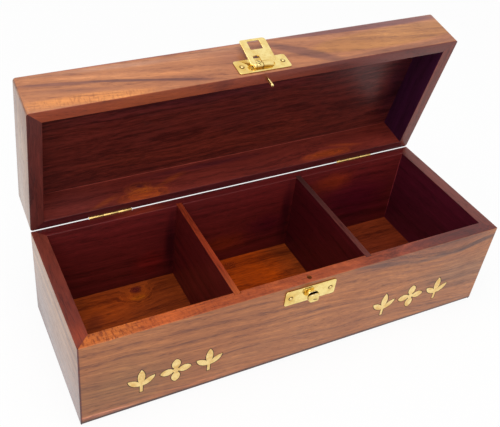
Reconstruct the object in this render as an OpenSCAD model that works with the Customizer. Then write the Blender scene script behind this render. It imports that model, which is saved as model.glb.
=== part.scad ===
// Wooden tea bag box: three compartments under a hinged lid, with brass
// hinges, a hasp over a turn button, and brass inlay in the front.
// X runs along the box, Y from front to back and Z up. The origin is the
// centre of the underside. The lid stands open against its stop.

/* [Box] */
// Length of the box over its end boards
box_l = 305; // [250:1:400]
// Depth of the box from front face to back face
box_w = 105; // [90:1:160]
// Height of the base from underside to rim
base_h = 71; // [60:1:120]
// Height of the lid from rim to top
lid_h = 33; // [28:1:60]
// Gap between the two rims when the box is shut
rim_gap = 0.5; // [0.4:0.1:2]
// Angle at which the lid stands open
open_angle = 79; // [60:1:100]

/* [Boards] */
// Thickness of the front boards
front_t = 8.8; // [7:0.1:12]
// Thickness of the end boards
side_t = 9.1; // [7:0.1:14]
// Thickness of the back boards
back_t = 7; // [6.5:0.1:12]
// Thickness of the floor panel
floor_t = 5; // [3:0.1:9]
// Thickness of the lid panel
panel_t = 9.8; // [6:0.1:14]
// How far the two panels are let into the boards
rebate_d = 4; // [2:0.1:4.5]
// Thickness of a divider
divider_t = 4.4; // [3:0.1:8]
// How far a divider is housed in the front and back boards
housing_d = 2; // [1:0.1:3]
// Play all round a panel or divider in its seat
seat_play = 0.1; // [0.05:0.05:0.2]

/* [Arrises] */
// Radius of the lid's upper arrises
lid_round = 2.5; // [1:0.1:4]
// Radius of the arrises round the foot
foot_round = 1.5; // [0.5:0.1:3]
// Radius of the eased arrises along rims and dividers
rim_ease = 0.5; // [0.2:0.1:1]

/* [Hinges] */
// Distance from each end of the box to the even place of its hinge
hinge_in = 53; // [48:0.5:66]
// How far both hinges sit to the right of their even places
hinge_shift = 2.4; // [-4:0.1:4]
// Length of a hinge along the box
hinge_l = 30.5; // [24:0.5:40]
// Height of a hinge leaf from the pin's axis
leaf_h = 11; // [9:0.5:16]
// Thickness of a hinge leaf
leaf_t = 0.7; // [0.5:0.1:0.9]
// Distance of the hinge axis behind the back face
axis_out = 0.1; // [0:0.05:0.3]
// Radius of a hinge pin
hinge_pin_r = 0.45; // [0.35:0.05:0.55]
// Wall of a hinge knuckle round its pin
knuckle_wall = 0.5; // [0.4:0.05:0.7]
// Length of a hinge screw from the face of the leaf
hinge_screw_l = 5.5; // [4:0.1:6]
// Radius of a hinge screw's shank
hinge_screw_r = 1; // [0.7:0.05:1.2]
// Radius of a hinge screw's countersunk head
hinge_screw_head_r = 1.9; // [1.5:0.05:2.2]
// Distance of a hinge screw from the middle of its leaf
hinge_screw_x = 9; // [6:0.1:9.5]

/* [Latch] */
// Offset of the latch to the right of the middle
latch_x = 0.7; // [-20:0.1:20]
// Length of each latch plate
plate_l = 37.4; // [32:0.1:60]
// Height of each latch plate
plate_h = 12.5; // [11:0.1:18]
// Thickness of each latch plate
plate_t = 0.8; // [0.5:0.05:1]
// Corner radius of the latch plates
plate_corner = 1.6; // [0.5:0.1:3]
// Distance of the catch plate below the rim of the base
catch_drop = 3.2; // [2:0.1:8]
// Distance of the hasp plate above the rim of the lid
hasp_rise = 2; // [1:0.1:4]
// Height of the hasp's axis above the lower edge of its plate
hasp_axis_up = 4.1; // [3:0.1:6]
// Distance of the hasp's axis from the face of the box
hasp_axis_out = 1.9; // [1.8:0.05:2.2]
// Angle between the raised hasp and the face of the lid
hasp_tilt = 9.4; // [4:0.1:20]
// Width of the hasp at its free end
hasp_w = 18.6; // [17:0.1:22]
// Width of the hasp at its knuckles
hasp_root_w = 15.6; // [14:0.1:17]
// Thickness of the hasp
hasp_t = 0.8; // [0.6:0.05:0.9]
// Bar of the hasp beyond its window
hasp_end = 1.8; // [1.5:0.1:4]
// Corner radius at the free end of the hasp
hasp_corner = 2.5; // [1:0.1:3]
// Width of the hasp's window
window_w = 8.8; // [8.8:0.1:12]
// Height of the hasp's window
window_h = 7.2; // [6.6:0.1:8]
// Offset of the hasp's knuckle slot from its middle
slot_x = -3.4; // [-4:0.1:4]
// Width of the hasp's knuckle slot
slot_w = 4.6; // [4:0.1:6]
// Depth of the hasp's knuckle slot from the axis
slot_d = 7.5; // [4:0.1:8.5]
// Radius of the hasp's pin
hasp_pin_r = 0.5; // [0.3:0.05:0.7]
// Wall of a hasp knuckle round its pin
hasp_knuckle_wall = 1.1; // [0.9:0.05:1.2]
// Length of the turn button's wing
wing_l = 8.4; // [8:0.1:8.6]
// Height of the turn button's wing
wing_h = 4.4; // [3.4:0.1:5]
// Depth of the wing's folded loop
wing_d = 3.8; // [3:0.1:5]
// Thickness of the strip that the wing is folded from
wing_strip = 0.9; // [0.6:0.05:1]
// Radius of the turn button's stem
stem_r = 1.5; // [1:0.05:1.8]
// Radius of the head of a latch nail
nail_head_r = 1.15; // [0.9:0.05:1.5]
// Height of the head of a latch nail
nail_head_h = 0.6; // [0.4:0.05:0.9]
// Radius of the shank of a latch nail
nail_r = 0.6; // [0.4:0.05:0.8]
// Length of a latch nail under its head
nail_l = 6.5; // [4:0.1:7]
// Distance between the nails of a plate
nail_pitch = 29.4; // [28.5:0.1:31]

/* [Alignment pin] */
// Radius of the alignment pin
align_r = 1.1; // [0.9:0.05:1.5]
// Length of the pin below the rim of the lid
align_l = 8.5; // [5:0.1:9]
// Length of the pin inside the lid
align_root = 6; // [4:0.1:9]
// Offset of the pin to the right of the middle
align_x = 0.8; // [-15:0.1:15]
// Distance of the pin from the front face
align_in = 4; // [3.6:0.1:5]
// Play round the pin in its hole in the base
align_play = 0.5; // [0.4:0.05:0.8]

/* [Inlay] */
// Distance from each end of the box to the middle of its inlay group
inlay_in = 62.2; // [48:0.1:66]
// Height of the middle of the inlay above the underside
inlay_z = 25; // [20:0.1:35]
// Thickness of the brass inlay
inlay_t = 1; // [0.5:0.1:1.5]
// Width of the dark filler line round the inlay
filler_w = 0.5; // [0.3:0.05:0.8]
// Distance between the motifs of a group
motif_pitch = 23; // [22.5:0.1:26]
// Length of a flower petal
petal_l = 9.4; // [8:0.1:9.6]
// Width of a flower petal
petal_w = 6; // [4:0.1:6.4]
// Radius of the flower's eye
eye_r = 2.2; // [1.6:0.1:2.8]
// Length of a sprig's upright leaf
bud_l = 14; // [12:0.1:16]
// Width of a sprig's upright leaf
bud_w = 5; // [4:0.1:6]
// Length of a sprig's side leaf
side_leaf_l = 11.5; // [10:0.1:12]
// Width of a sprig's side leaf
side_leaf_w = 4.6; // [3.6:0.1:5]
// Lean of a sprig's side leaves from upright
side_leaf_lean = 52; // [45:1:60]
// Length of a sprig's stalk
stalk_l = 7; // [5:0.1:8]
// Width of a sprig's stalk
stalk_w = 2; // [1.6:0.1:2.6]

/* [Hidden] */
$fn = 96;
// Clearance of a shank in a drilled hole
drill_play = 0.05;
// Clearance between parts that turn on each other
turn_play = 0.06;
// Side clearance between knuckles
knuckle_side = 0.25;
// Clearance between the hasp and the plates that it swings over
swing_play = 0.15;
// Clearance round a hinge knuckle in its scoop
scoop_play = 0.2;
// Scoop left beyond each end of a hinge
scoop_spare = 0.6;
// Clearance of a knuckle or flange in its slot or seat
recess_play = 0.35;
// How far a pin's end stands out of its last knuckle
pin_proud = 0.4;
// Overrun of a cut past the face it opens
cut = 1;
// Wall of the turn button's flange behind the plate
flange_t = 0.8;
// How far the flange reaches past the stem
flange_lip = 1;
// How far the neck reaches past the stem
neck_lip = 0.4;
// Depth of the seat cut in the wood for the flange
rivet_seat_d = 1.2;
// Corner radius of the hasp's window
window_corner = 0.6;
// Overlap that joins shapes of one motif
motif_join = 1.2;
// How far a mitre's cutting shape reaches past the corners, as a share of the mitre
mitre_reach = 0.3;

inner_l = box_l - 2 * side_t;
inner_w = box_w - front_t - back_t;
inner_y = (front_t - back_t) / 2;
bay_l = (inner_l - 2 * divider_t) / 3;
divider_x = (bay_l + divider_t) / 2;
lid_z = base_h + rim_gap;

hinge_x = box_l / 2 - hinge_in;
inlay_x = box_l / 2 - inlay_in;

axis_y = box_w / 2 + axis_out;
axis_z = base_h + rim_gap / 2;
knuckle_r = hinge_pin_r + knuckle_wall;
knuckle_l = (hinge_l - 2 * knuckle_side) / 3;
scoop_l = hinge_l + 2 * scoop_spare;
scoop_r = knuckle_r + scoop_play;
hinge_screw_z = (leaf_h + knuckle_r) / 2;

catch_z = base_h - catch_drop - plate_h / 2;
hasp_plate_z = lid_z + hasp_rise + plate_h / 2;
hasp_axis_z = lid_z + hasp_rise + hasp_axis_up;
hasp_reach = hasp_axis_z - catch_z;
hasp_l = hasp_reach + window_h / 2 + hasp_end;
hasp_knuckle_r = hasp_pin_r + hasp_knuckle_wall;
wing_z = plate_t + swing_play + hasp_t + 2 * swing_play;

// ---------- placing ----------

// Turns what is drawn with the lid shut to the standing-open lid.
module opened() {
    translate([0, axis_y, axis_z])
        rotate([-open_angle, 0, 0])
            translate([0, -axis_y, -axis_z])
                children();
}

// Sets a drawing on the front face: its Y runs up and its Z stands out of the wood.
module on_front(x, z) {
    translate([x, -box_w / 2, z])
        rotate([90, 0, 0])
            children();
}

// Sets a drawing on the back face: its Y runs up and its Z stands out of the wood.
module on_back(x, z) {
    translate([x, box_w / 2, z])
        rotate([90, 0, 180])
            children();
}

module both_nails() {
    for (side = [-1, 1])
        translate([side * nail_pitch / 2, 0, 0])
            children();
}

module both_hinge_screws() {
    for (side = [-1, 1])
        translate([side * hinge_screw_x, 0, 0])
            children();
}

// ---------- plain shapes ----------

// Wood taken off one square corner to leave a quarter round of radius r.
module corner_waste(r) {
    difference() {
        translate([-r, -cut])
            square([r + cut, r + cut]);
        translate([-r, r])
            circle(r);
    }
}

// Rectangle standing on the X axis with rounded lower and upper corners.
module eased_rect(w, h, low, high) {
    difference() {
        translate([-w / 2, 0])
            square([w, h]);
        for (side = [0, 1])
            mirror([side, 0])
                translate([w / 2, 0]) {
                    if (low > 0)
                        corner_waste(low);
                    if (high > 0)
                        translate([0, h])
                            mirror([0, 1])
                                corner_waste(high);
                }
    }
}

// Rectangle about the origin with corners of radius r.
module rounded_rect(w, h, r) {
    translate([0, -h / 2])
        eased_rect(w, h, r, r);
}

// Strip with half-round ends about the origin.
module slot_shape(l, w) {
    square([l - w, w], center = true);
    for (side = [-1, 1])
        translate([side * (l - w) / 2, 0])
            circle(w / 2);
}

module along_x(l) {
    translate([-l / 2, 0, 0])
        rotate([90, 0, 90])
            linear_extrude(l)
                children();
}

module along_y(l) {
    translate([0, l / 2, 0])
        rotate([90, 0, 0])
            linear_extrude(l)
                children();
}

// Block that fills the rebate for a panel of thickness t.
module panel_seat(t, play) {
    size = [inner_l + 2 * (rebate_d - play), inner_w + 2 * (rebate_d - play), t];
    translate([-size[0] / 2, inner_y - size[1] / 2, 0])
        cube(size);
}

// ---------- boards ----------

// Corners of the box seen from above, then those of its inside.
outer = [for (k = [[-1, -1], [1, -1], [1, 1], [-1, 1]])
            [k[0] * box_l / 2, k[1] * box_w / 2]];
inner = [for (k = [[-1, -1], [1, -1], [1, 1], [-1, 1]])
            [k[0] * inner_l / 2, inner_y + k[1] * inner_w / 2]];

// Keeps the board on side i (front, right, back, left), cut at its mitres.
module mitred(i, h) {
    next = (i + 1) % 4;
    intersection() {
        children();
        translate([0, 0, -cut])
            linear_extrude(h + 2 * cut)
                polygon([outer[i] + mitre_reach * (outer[i] - inner[i]),
                         outer[next] + mitre_reach * (outer[next] - inner[next]),
                         inner[next] + mitre_reach * (inner[next] - outer[next]),
                         inner[i] + mitre_reach * (inner[i] - outer[i])]);
    }
}

// Cross-section of a board with its rim up: X runs from its outer to its inner
// face, and the panel's seat is cut into its inner foot.
module board_section(t, h, far_round, seat_t) {
    difference() {
        square([t, h]);
        mirror([1, 0])
            corner_waste(far_round);
        for (side = [0, 1])
            translate([side * t, h])
                mirror([1 - side, 0])
                    mirror([0, 1])
                        corner_waste(rim_ease);
        translate([t - rebate_d, -cut])
            square([rebate_d + cut, seat_t + cut]);
    }
}

// Board on side i (front, right, back, left) with its rim up.
module board(i, h, far_round, seat_t) {
    thickness = [front_t, side_t, back_t, side_t][i];
    size = i % 2 == 0 ? [box_l, box_w] : [box_w, box_l];
    mitred(i, h)
        rotate(90 * i)
            translate([0, -size[1] / 2, 0])
                along_x(size[0])
                    board_section(thickness, h, far_round, seat_t);
}

module base_board(i) {
    board(i, base_h, foot_round, floor_t);
}

// The lid's boards are drawn rim up and turned over onto the base.
module lid_board(i) {
    translate([0, 0, lid_z + lid_h])
        mirror([0, 0, 1])
            board(i, lid_h, lid_round, panel_t);
}

// Grooves that house the dividers' ends.
module divider_housings() {
    w = divider_t + 2 * seat_play;
    for (side = [-1, 1])
        translate([side * divider_x - w / 2, inner_y - inner_w / 2 - housing_d, floor_t])
            cube([w, inner_w + 2 * housing_d, base_h]);
}

// Scoops along the back arris that clear the hinge knuckles.
module hinge_scoops() {
    for (side = [-1, 1])
        translate([side * hinge_x + hinge_shift - scoop_l / 2, axis_y, axis_z])
            rotate([0, 90, 0])
                cylinder(h = scoop_l, r = scoop_r);
}

// Pilot holes of the hinge screws; way is 1 above the axis and -1 below it.
module hinge_pilots(way) {
    for (side = [-1, 1])
        on_back(side * hinge_x + hinge_shift, axis_z + way * hinge_screw_z)
            both_hinge_screws()
                translate([0, 0, leaf_t - hinge_screw_l - drill_play])
                    cylinder(h = hinge_screw_l, r = hinge_screw_r + drill_play);
}

module nail_pilots() {
    both_nails()
        translate([0, 0, plate_t - nail_l - drill_play])
            cylinder(h = nail_l, r = nail_r + drill_play);
}

module front_board() {
    color("peru")
        difference() {
            base_board(0);
            divider_housings();
            for (side = [-1, 1])
                on_front(side * inlay_x, inlay_z)
                    translate([0, 0, -inlay_t])
                        linear_extrude(inlay_t + cut)
                            motif_group(filler_w);
            on_front(latch_x, catch_z) {
                nail_pilots();
                translate([0, 0, -rivet_seat_d])
                    cylinder(h = rivet_seat_d + cut, r = stem_r + flange_lip + recess_play);
            }
            translate([align_x, align_in - box_w / 2, base_h - align_l])
                cylinder(h = align_l + cut, r = align_r + align_play);
        }
}

module right_board() {
    color("saddlebrown")
        base_board(1);
}

module back_board() {
    color("sienna")
        difference() {
            base_board(2);
            divider_housings();
            hinge_scoops();
            hinge_pilots(-1);
        }
}

module left_board() {
    color("saddlebrown")
        base_board(3);
}

module floor_panel() {
    color("sandybrown")
        panel_seat(floor_t, seat_play);
}

module divider(side) {
    color("sienna")
        translate([side * divider_x, inner_y, floor_t])
            along_y(inner_w + 2 * (housing_d - seat_play))
                eased_rect(divider_t, base_h - floor_t, 0, rim_ease);
}

module left_divider() {
    divider(-1);
}

module right_divider() {
    divider(1);
}

module lid_front_board() {
    color("peru")
        opened()
            difference() {
                lid_board(0);
                on_front(latch_x, hasp_plate_z)
                    nail_pilots();
                translate([align_x, align_in - box_w / 2, lid_z - cut])
                    cylinder(h = align_root + cut + drill_play, r = align_r + drill_play);
            }
}

module lid_right_board() {
    color("saddlebrown")
        opened()
            lid_board(1);
}

module lid_back_board() {
    color("sienna")
        opened()
            difference() {
                lid_board(2);
                hinge_scoops();
                hinge_pilots(1);
            }
}

module lid_left_board() {
    color("saddlebrown")
        opened()
            lid_board(3);
}

module lid_panel() {
    color("sienna")
        opened()
            translate([0, 0, lid_z + lid_h - panel_t])
                panel_seat(panel_t, seat_play);
}

// ---------- inlay ----------

// Pointed leaf along Y from the origin, grown all round by grow.
module leaf_shape(l, w, grow) {
    r = (l * l + w * w) / (4 * w);
    translate([0, l / 2])
        intersection_for (side = [-1, 1])
            translate([side * (r - w / 2), 0])
                circle(r + grow);
}

module flower(grow) {
    circle(eye_r + grow);
    for (turn = [0:90:270])
        rotate(turn)
            translate([0, motif_join])
                leaf_shape(petal_l, petal_w, grow);
}

module sprig(grow) {
    base = -(stalk_l + bud_l) / 2;
    translate([-stalk_w / 2 - grow, base - grow])
        square([stalk_w + 2 * grow, stalk_l + motif_join + 2 * grow]);
    translate([0, base + stalk_l])
        leaf_shape(bud_l, bud_w, grow);
    for (side = [0, 1])
        mirror([side, 0])
            translate([0, base + stalk_l - motif_join])
                rotate(-side_leaf_lean)
                    leaf_shape(side_leaf_l, side_leaf_w, grow);
}

// Sprig, flower and sprig in a row.
module motif_group(grow) {
    flower(grow);
    for (side = [-1, 1])
        translate([side * motif_pitch, 0])
            sprig(grow);
}

module inlay(side) {
    color("gold")
        on_front(side * inlay_x, inlay_z)
            translate([0, 0, -inlay_t])
                linear_extrude(inlay_t)
                    motif_group(0);
}

module inlay_filler(side) {
    color("black")
        on_front(side * inlay_x, inlay_z)
            translate([0, 0, -inlay_t])
                linear_extrude(inlay_t)
                    difference() {
                        motif_group(filler_w);
                        motif_group(0);
                    }
}

module left_inlay() {
    inlay(-1);
}

module right_inlay() {
    inlay(1);
}

module left_inlay_filler() {
    inlay_filler(-1);
}

module right_inlay_filler() {
    inlay_filler(1);
}

// ---------- hinges ----------

// Barrel length between two places along the pin, with radius r.
module barrel(from, to, r) {
    translate([from, 0, 0])
        rotate([0, 90, 0])
            cylinder(h = to - from, r = r);
}

// Leaf about the pin's axis: Y runs up the leaf and Z stands out of the wood.
// The outer knuckles belong to the base leaf, the middle one to the lid leaf.
module hinge_leaf(middle, bore) {
    inner_end = knuckle_l / 2 + knuckle_side;
    difference() {
        union() {
            translate([-hinge_l / 2, 0, -axis_out])
                cube([hinge_l, leaf_h, leaf_t]);
            if (middle)
                barrel(-knuckle_l / 2, knuckle_l / 2, knuckle_r);
            else
                for (side = [0, 1])
                    mirror([side, 0, 0])
                        barrel(inner_end, hinge_l / 2, knuckle_r);
        }
        barrel(-hinge_l, hinge_l, bore);
        if (middle)
            for (side = [0, 1])
                mirror([side, 0, 0])
                    barrel(knuckle_l / 2, hinge_l / 2 + cut, knuckle_r + knuckle_side);
        else
            barrel(-inner_end, inner_end, knuckle_r + knuckle_side);
        translate([0, hinge_screw_z, leaf_t - axis_out])
            both_hinge_screws()
                hinge_screw(drill_play);
    }
}

// Countersunk screw whose face is flush with its leaf, grown by grow.
module hinge_screw(grow) {
    flare = (hinge_screw_head_r - hinge_screw_r) / leaf_t;
    translate([0, 0, -leaf_t])
        cylinder(h = leaf_t + grow, r1 = hinge_screw_r + grow,
                 r2 = hinge_screw_head_r + grow * (1 + flare));
    translate([0, 0, -hinge_screw_l])
        cylinder(h = hinge_screw_l, r = hinge_screw_r + grow);
}

module base_leaf(side) {
    color("goldenrod")
        translate([side * hinge_x + hinge_shift, axis_y, axis_z])
            rotate([-90, 0, 0])
                hinge_leaf(false, hinge_pin_r + drill_play);
}

module lid_leaf(side) {
    color("goldenrod")
        opened()
            translate([side * hinge_x + hinge_shift, axis_y, axis_z])
                rotate([90, 0, 180])
                    hinge_leaf(true, hinge_pin_r + turn_play);
}

module hinge_pin(side) {
    length = hinge_l + 2 * pin_proud;
    color("darkgoldenrod")
        translate([side * hinge_x + hinge_shift, axis_y, axis_z])
            barrel(-length / 2, length / 2, hinge_pin_r);
}

module hinge_screws(way) {
    color("khaki")
        for (side = [-1, 1])
            on_back(side * hinge_x + hinge_shift, axis_z + way * hinge_screw_z)
                translate([0, 0, leaf_t])
                    both_hinge_screws()
                        hinge_screw(0);
}

module left_hinge_base_leaf() {
    base_leaf(-1);
}

module right_hinge_base_leaf() {
    base_leaf(1);
}

module left_hinge_lid_leaf() {
    lid_leaf(-1);
}

module right_hinge_lid_leaf() {
    lid_leaf(1);
}

module left_hinge_pin() {
    hinge_pin(-1);
}

module right_hinge_pin() {
    hinge_pin(1);
}

module base_hinge_screws() {
    hinge_screws(-1);
}

module lid_hinge_screws() {
    opened()
        hinge_screws(1);
}

// ---------- latch ----------

module latch_plate() {
    difference() {
        linear_extrude(plate_t)
            rounded_rect(plate_l, plate_h, plate_corner);
        both_nails()
            translate([0, 0, -cut])
                cylinder(h = plate_t + 2 * cut, r = nail_r + drill_play);
    }
}

// Domed nail whose head sits at the origin.
module nail() {
    dome_r = (nail_head_r * nail_head_r + nail_head_h * nail_head_h) / (2 * nail_head_h);
    intersection() {
        translate([0, 0, nail_head_h - dome_r])
            sphere(dome_r);
        cylinder(h = nail_head_h, r = nail_head_r);
    }
    translate([0, 0, -nail_l])
        cylinder(h = nail_l, r = nail_r);
}

module catch_plate() {
    color("gold")
        on_front(latch_x, catch_z)
            difference() {
                latch_plate();
                translate([0, 0, -cut])
                    cylinder(h = plate_t + 2 * cut, r = stem_r + turn_play);
            }
}

module catch_plate_nails() {
    color("khaki")
        on_front(latch_x, catch_z)
            translate([0, 0, plate_t])
                both_nails()
                    nail();
}

// Folded wing on a neck, held behind the plate by a flange.
module turn_button() {
    color("gold")
        on_front(latch_x, catch_z) {
            translate([0, 0, -flange_t - turn_play])
                cylinder(h = flange_t, r = stem_r + flange_lip);
            translate([0, 0, -flange_t - turn_play])
                cylinder(h = flange_t + turn_play + wing_z + wing_strip / 2, r = stem_r);
            translate([0, 0, plate_t + turn_play])
                cylinder(h = wing_z - plate_t - turn_play + wing_strip / 2, r = stem_r + neck_lip);
            translate([0, wing_h / 2, wing_z + wing_d / 2])
                rotate([90, 0, 0])
                    linear_extrude(wing_h)
                        difference() {
                            slot_shape(wing_l, wing_d);
                            slot_shape(wing_l - 2 * wing_strip, wing_d - 2 * wing_strip);
                        }
        }
}

// Plate on the lid with the knuckle that the hasp's slot goes round.
module hasp_plate() {
    knuckle_w = slot_w - 2 * knuckle_side;
    slot_h = 2 * (hasp_knuckle_r + recess_play);
    slots_w = hasp_root_w + 2 * recess_play;
    color("gold")
        opened()
            difference() {
                union() {
                    on_front(latch_x, hasp_plate_z)
                        difference() {
                            latch_plate();
                            translate([-slots_w / 2, hasp_axis_z - hasp_plate_z - slot_h / 2, -cut])
                                cube([slots_w, slot_h, plate_t + 2 * cut]);
                        }
                    on_front(latch_x + slot_x, hasp_axis_z) {
                        translate([0, 0, hasp_axis_out])
                            barrel(-knuckle_w / 2, knuckle_w / 2, hasp_knuckle_r);
                        translate([-knuckle_w / 2, -slot_h / 2 - cut, 0])
                            cube([knuckle_w, slot_h + 2 * cut, plate_t]);
                    }
                }
                on_front(latch_x, hasp_axis_z)
                    translate([0, 0, hasp_axis_out])
                        barrel(-hasp_w, hasp_w, hasp_pin_r + drill_play);
            }
}

module hasp_plate_nails() {
    color("khaki")
        opened()
            on_front(latch_x, hasp_plate_z)
                translate([0, 0, plate_t])
                    both_nails()
                        nail();
}

module hasp_pin() {
    length = hasp_root_w + 2 * pin_proud;
    color("darkgoldenrod")
        opened()
            on_front(latch_x, hasp_axis_z)
                translate([0, 0, hasp_axis_out])
                    barrel(-length / 2, length / 2, hasp_pin_r);
}

// Hasp hanging down from its axis over the catch plate, as when it is shut.
module hasp_down() {
    back = plate_t + swing_play - hasp_axis_out;
    flare_l = hasp_l - hasp_corner;
    difference() {
        union() {
            translate([0, 0, back])
                linear_extrude(hasp_t)
                    difference() {
                        polygon([[-hasp_root_w / 2, 0], [-hasp_w / 2, -flare_l], [-hasp_w / 2, -hasp_l],
                                 [hasp_w / 2, -hasp_l], [hasp_w / 2, -flare_l], [hasp_root_w / 2, 0]]);
                        for (side = [0, 1])
                            mirror([side, 0])
                                translate([hasp_w / 2, -hasp_l])
                                    corner_waste(hasp_corner);
                        translate([0, -hasp_reach])
                            rounded_rect(window_w, window_h, window_corner);
                    }
            barrel(-hasp_root_w / 2, hasp_root_w / 2, hasp_knuckle_r);
        }
        translate([slot_x - slot_w / 2, -slot_d, -hasp_knuckle_r - cut])
            cube([slot_w, slot_d + hasp_knuckle_r + cut, 2 * (hasp_knuckle_r + cut)]);
        barrel(-hasp_w, hasp_w, hasp_pin_r + turn_play);
    }
}

module hasp() {
    color("gold")
        opened()
            on_front(latch_x, hasp_axis_z)
                translate([0, 0, hasp_axis_out])
                    rotate([hasp_tilt - 180, 0, 0])
                        hasp_down();
}

// ---------- alignment pin ----------

module alignment_pin() {
    straight = align_l + align_root - align_r;
    color("goldenrod")
        opened()
            translate([align_x, align_in - box_w / 2, lid_z + align_root - straight]) {
                cylinder(h = straight, r = align_r);
                sphere(align_r);
            }
}

front_board();
right_board();
back_board();
left_board();
floor_panel();
left_divider();
right_divider();
left_inlay();
right_inlay();
left_inlay_filler();
right_inlay_filler();
catch_plate();
catch_plate_nails();
turn_button();
left_hinge_base_leaf();
right_hinge_base_leaf();
left_hinge_pin();
right_hinge_pin();
base_hinge_screws();
lid_front_board();
lid_right_board();
lid_back_board();
lid_left_board();
lid_panel();
left_hinge_lid_leaf();
right_hinge_lid_leaf();
lid_hinge_screws();
hasp_plate();
hasp_plate_nails();
hasp_pin();
hasp();
alignment_pin();
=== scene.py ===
"""Finished look of a wooden tea bag box with brass fittings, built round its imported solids."""

import logging
import math
from contextlib import contextmanager
from dataclasses import dataclass, replace
from enum import Enum
from functools import partial
from typing import Callable, Iterator, Sequence

import bmesh
import bpy
from mathutils import Euler, Matrix, Vector


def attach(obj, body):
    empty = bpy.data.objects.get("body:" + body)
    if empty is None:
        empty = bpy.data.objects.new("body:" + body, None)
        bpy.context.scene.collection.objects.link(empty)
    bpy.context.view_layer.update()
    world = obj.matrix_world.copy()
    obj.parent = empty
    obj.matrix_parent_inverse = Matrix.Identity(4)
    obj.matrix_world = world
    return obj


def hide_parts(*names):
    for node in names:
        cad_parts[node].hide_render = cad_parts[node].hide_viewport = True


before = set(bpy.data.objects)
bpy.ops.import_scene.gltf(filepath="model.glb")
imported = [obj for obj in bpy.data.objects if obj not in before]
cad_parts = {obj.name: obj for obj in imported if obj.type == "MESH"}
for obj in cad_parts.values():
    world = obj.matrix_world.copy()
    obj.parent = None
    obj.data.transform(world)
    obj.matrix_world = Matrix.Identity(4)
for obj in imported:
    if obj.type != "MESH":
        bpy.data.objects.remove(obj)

LOG = logging.getLogger("tea_box")
MM = 0.001

# Millimetres within which a corner counts as being in a place.
NEAR = 0.01

# Millimetres that a bore or a sink gives round what goes into it.
BORE_PLAY = 0.05

# Flat sides that make a wire round, and anything thicker.
WIRE_SIDES = 24
ROUND_SIDES = 40

Colour = tuple[float, float, float]
Socket = bpy.types.NodeSocket
Piece = bpy.types.Object


# ---------------------------------------------------------------- names


class Body(Enum):
    """Bodies that pieces ride on."""

    BASE = "base"
    LID = "lid"
    HASP = "hasp"
    BUTTON = "turn_button"


class Slot(Enum):
    """Material slots named for the new pieces; they are listed beside them but not given to them.
    """

    FRONT_WOOD = "front_wood"
    END_WOOD = "end_wood"
    BACK_WOOD = "back_wood"
    LATCH = "latch_brass"
    HINGE = "hinge_brass"
    PIN = "pin_brass"
    FASTENER = "fastener_brass"


class Grain(Enum):
    """Way a board's grain runs."""

    STANDING = "along a standing board"
    LYING = "along a lying panel"
    ACROSS = "along an end board or divider"

    def turn(self, lean: float) -> tuple[float, float, float]:
        """Turn that lays the grain along X, where it rises by so many degrees."""
        tilt = math.radians(lean)
        return {Grain.STANDING: (0.0, tilt, 0.0), Grain.LYING: (0.0, 0.0, -tilt),
                Grain.ACROSS: (-tilt, 0.0, -math.pi / 2)}[self]


class Way(Enum):
    """Ways that faces look on the shut box."""

    FRONT = (0.0, -1.0, 0.0)
    BACK = (0.0, 1.0, 0.0)
    LEFT = (-1.0, 0.0, 0.0)
    RIGHT = (1.0, 0.0, 0.0)
    UP = (0.0, 0.0, 1.0)
    DOWN = (0.0, 0.0, -1.0)


class Axis(Enum):
    """Axis of a rod, as the turn that brings Z onto it."""

    X = (0.0, math.pi / 2, 0.0)
    Z = (0.0, 0.0, 0.0)


# ---------------------------------------------------------------- sizes


@dataclass(frozen=True)
class BoxSizes:
    """Main sizes of the box in millimetres."""

    length: float = 305.0
    depth: float = 105.0
    base_height: float = 71.0
    lid_height: float = 33.0
    rim_gap: float = 0.5
    open_angle: float = 79.0
    front: float = 8.8
    side: float = 9.1
    back: float = 7.0
    floor: float = 5.0
    panel: float = 9.8
    divider: float = 4.4
    housing: float = 2.0
    axis_out: float = 0.1

    @property
    def lid_z(self) -> float:
        """Height of the lid's rim when the box is shut."""
        return self.base_height + self.rim_gap

    @property
    def hinge_axis(self) -> Vector:
        """A point of the hinge axis in millimetres."""
        return Vector((0.0, self.depth / 2 + self.axis_out, self.base_height + self.rim_gap / 2))

    @property
    def opening(self) -> Matrix:
        """Move, in millimetres, from the shut lid to the standing-open lid."""
        pivot = Matrix.Translation(self.hinge_axis)
        turn = Matrix.Rotation(math.radians(-self.open_angle), 4, "X")
        return pivot @ turn @ pivot.inverted()

    def on_front(self, x: float, z: float) -> Matrix:
        """Frame on the front face: its Y runs up and its Z stands out of the wood."""
        return Matrix.Translation((x, -self.depth / 2, z)) @ Matrix.Rotation(math.pi / 2, 4, "X")

    def on_back(self, x: float, z: float) -> Matrix:
        """Frame on the back face: its Y runs up and its Z stands out of the wood."""
        turned = Matrix.Rotation(math.pi, 4, "Z") @ Matrix.Rotation(math.pi / 2, 4, "X")
        return Matrix.Translation((x, self.depth / 2, z)) @ turned


BOX = BoxSizes()


# ---------------------------------------------------------------- shader nodes


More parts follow.
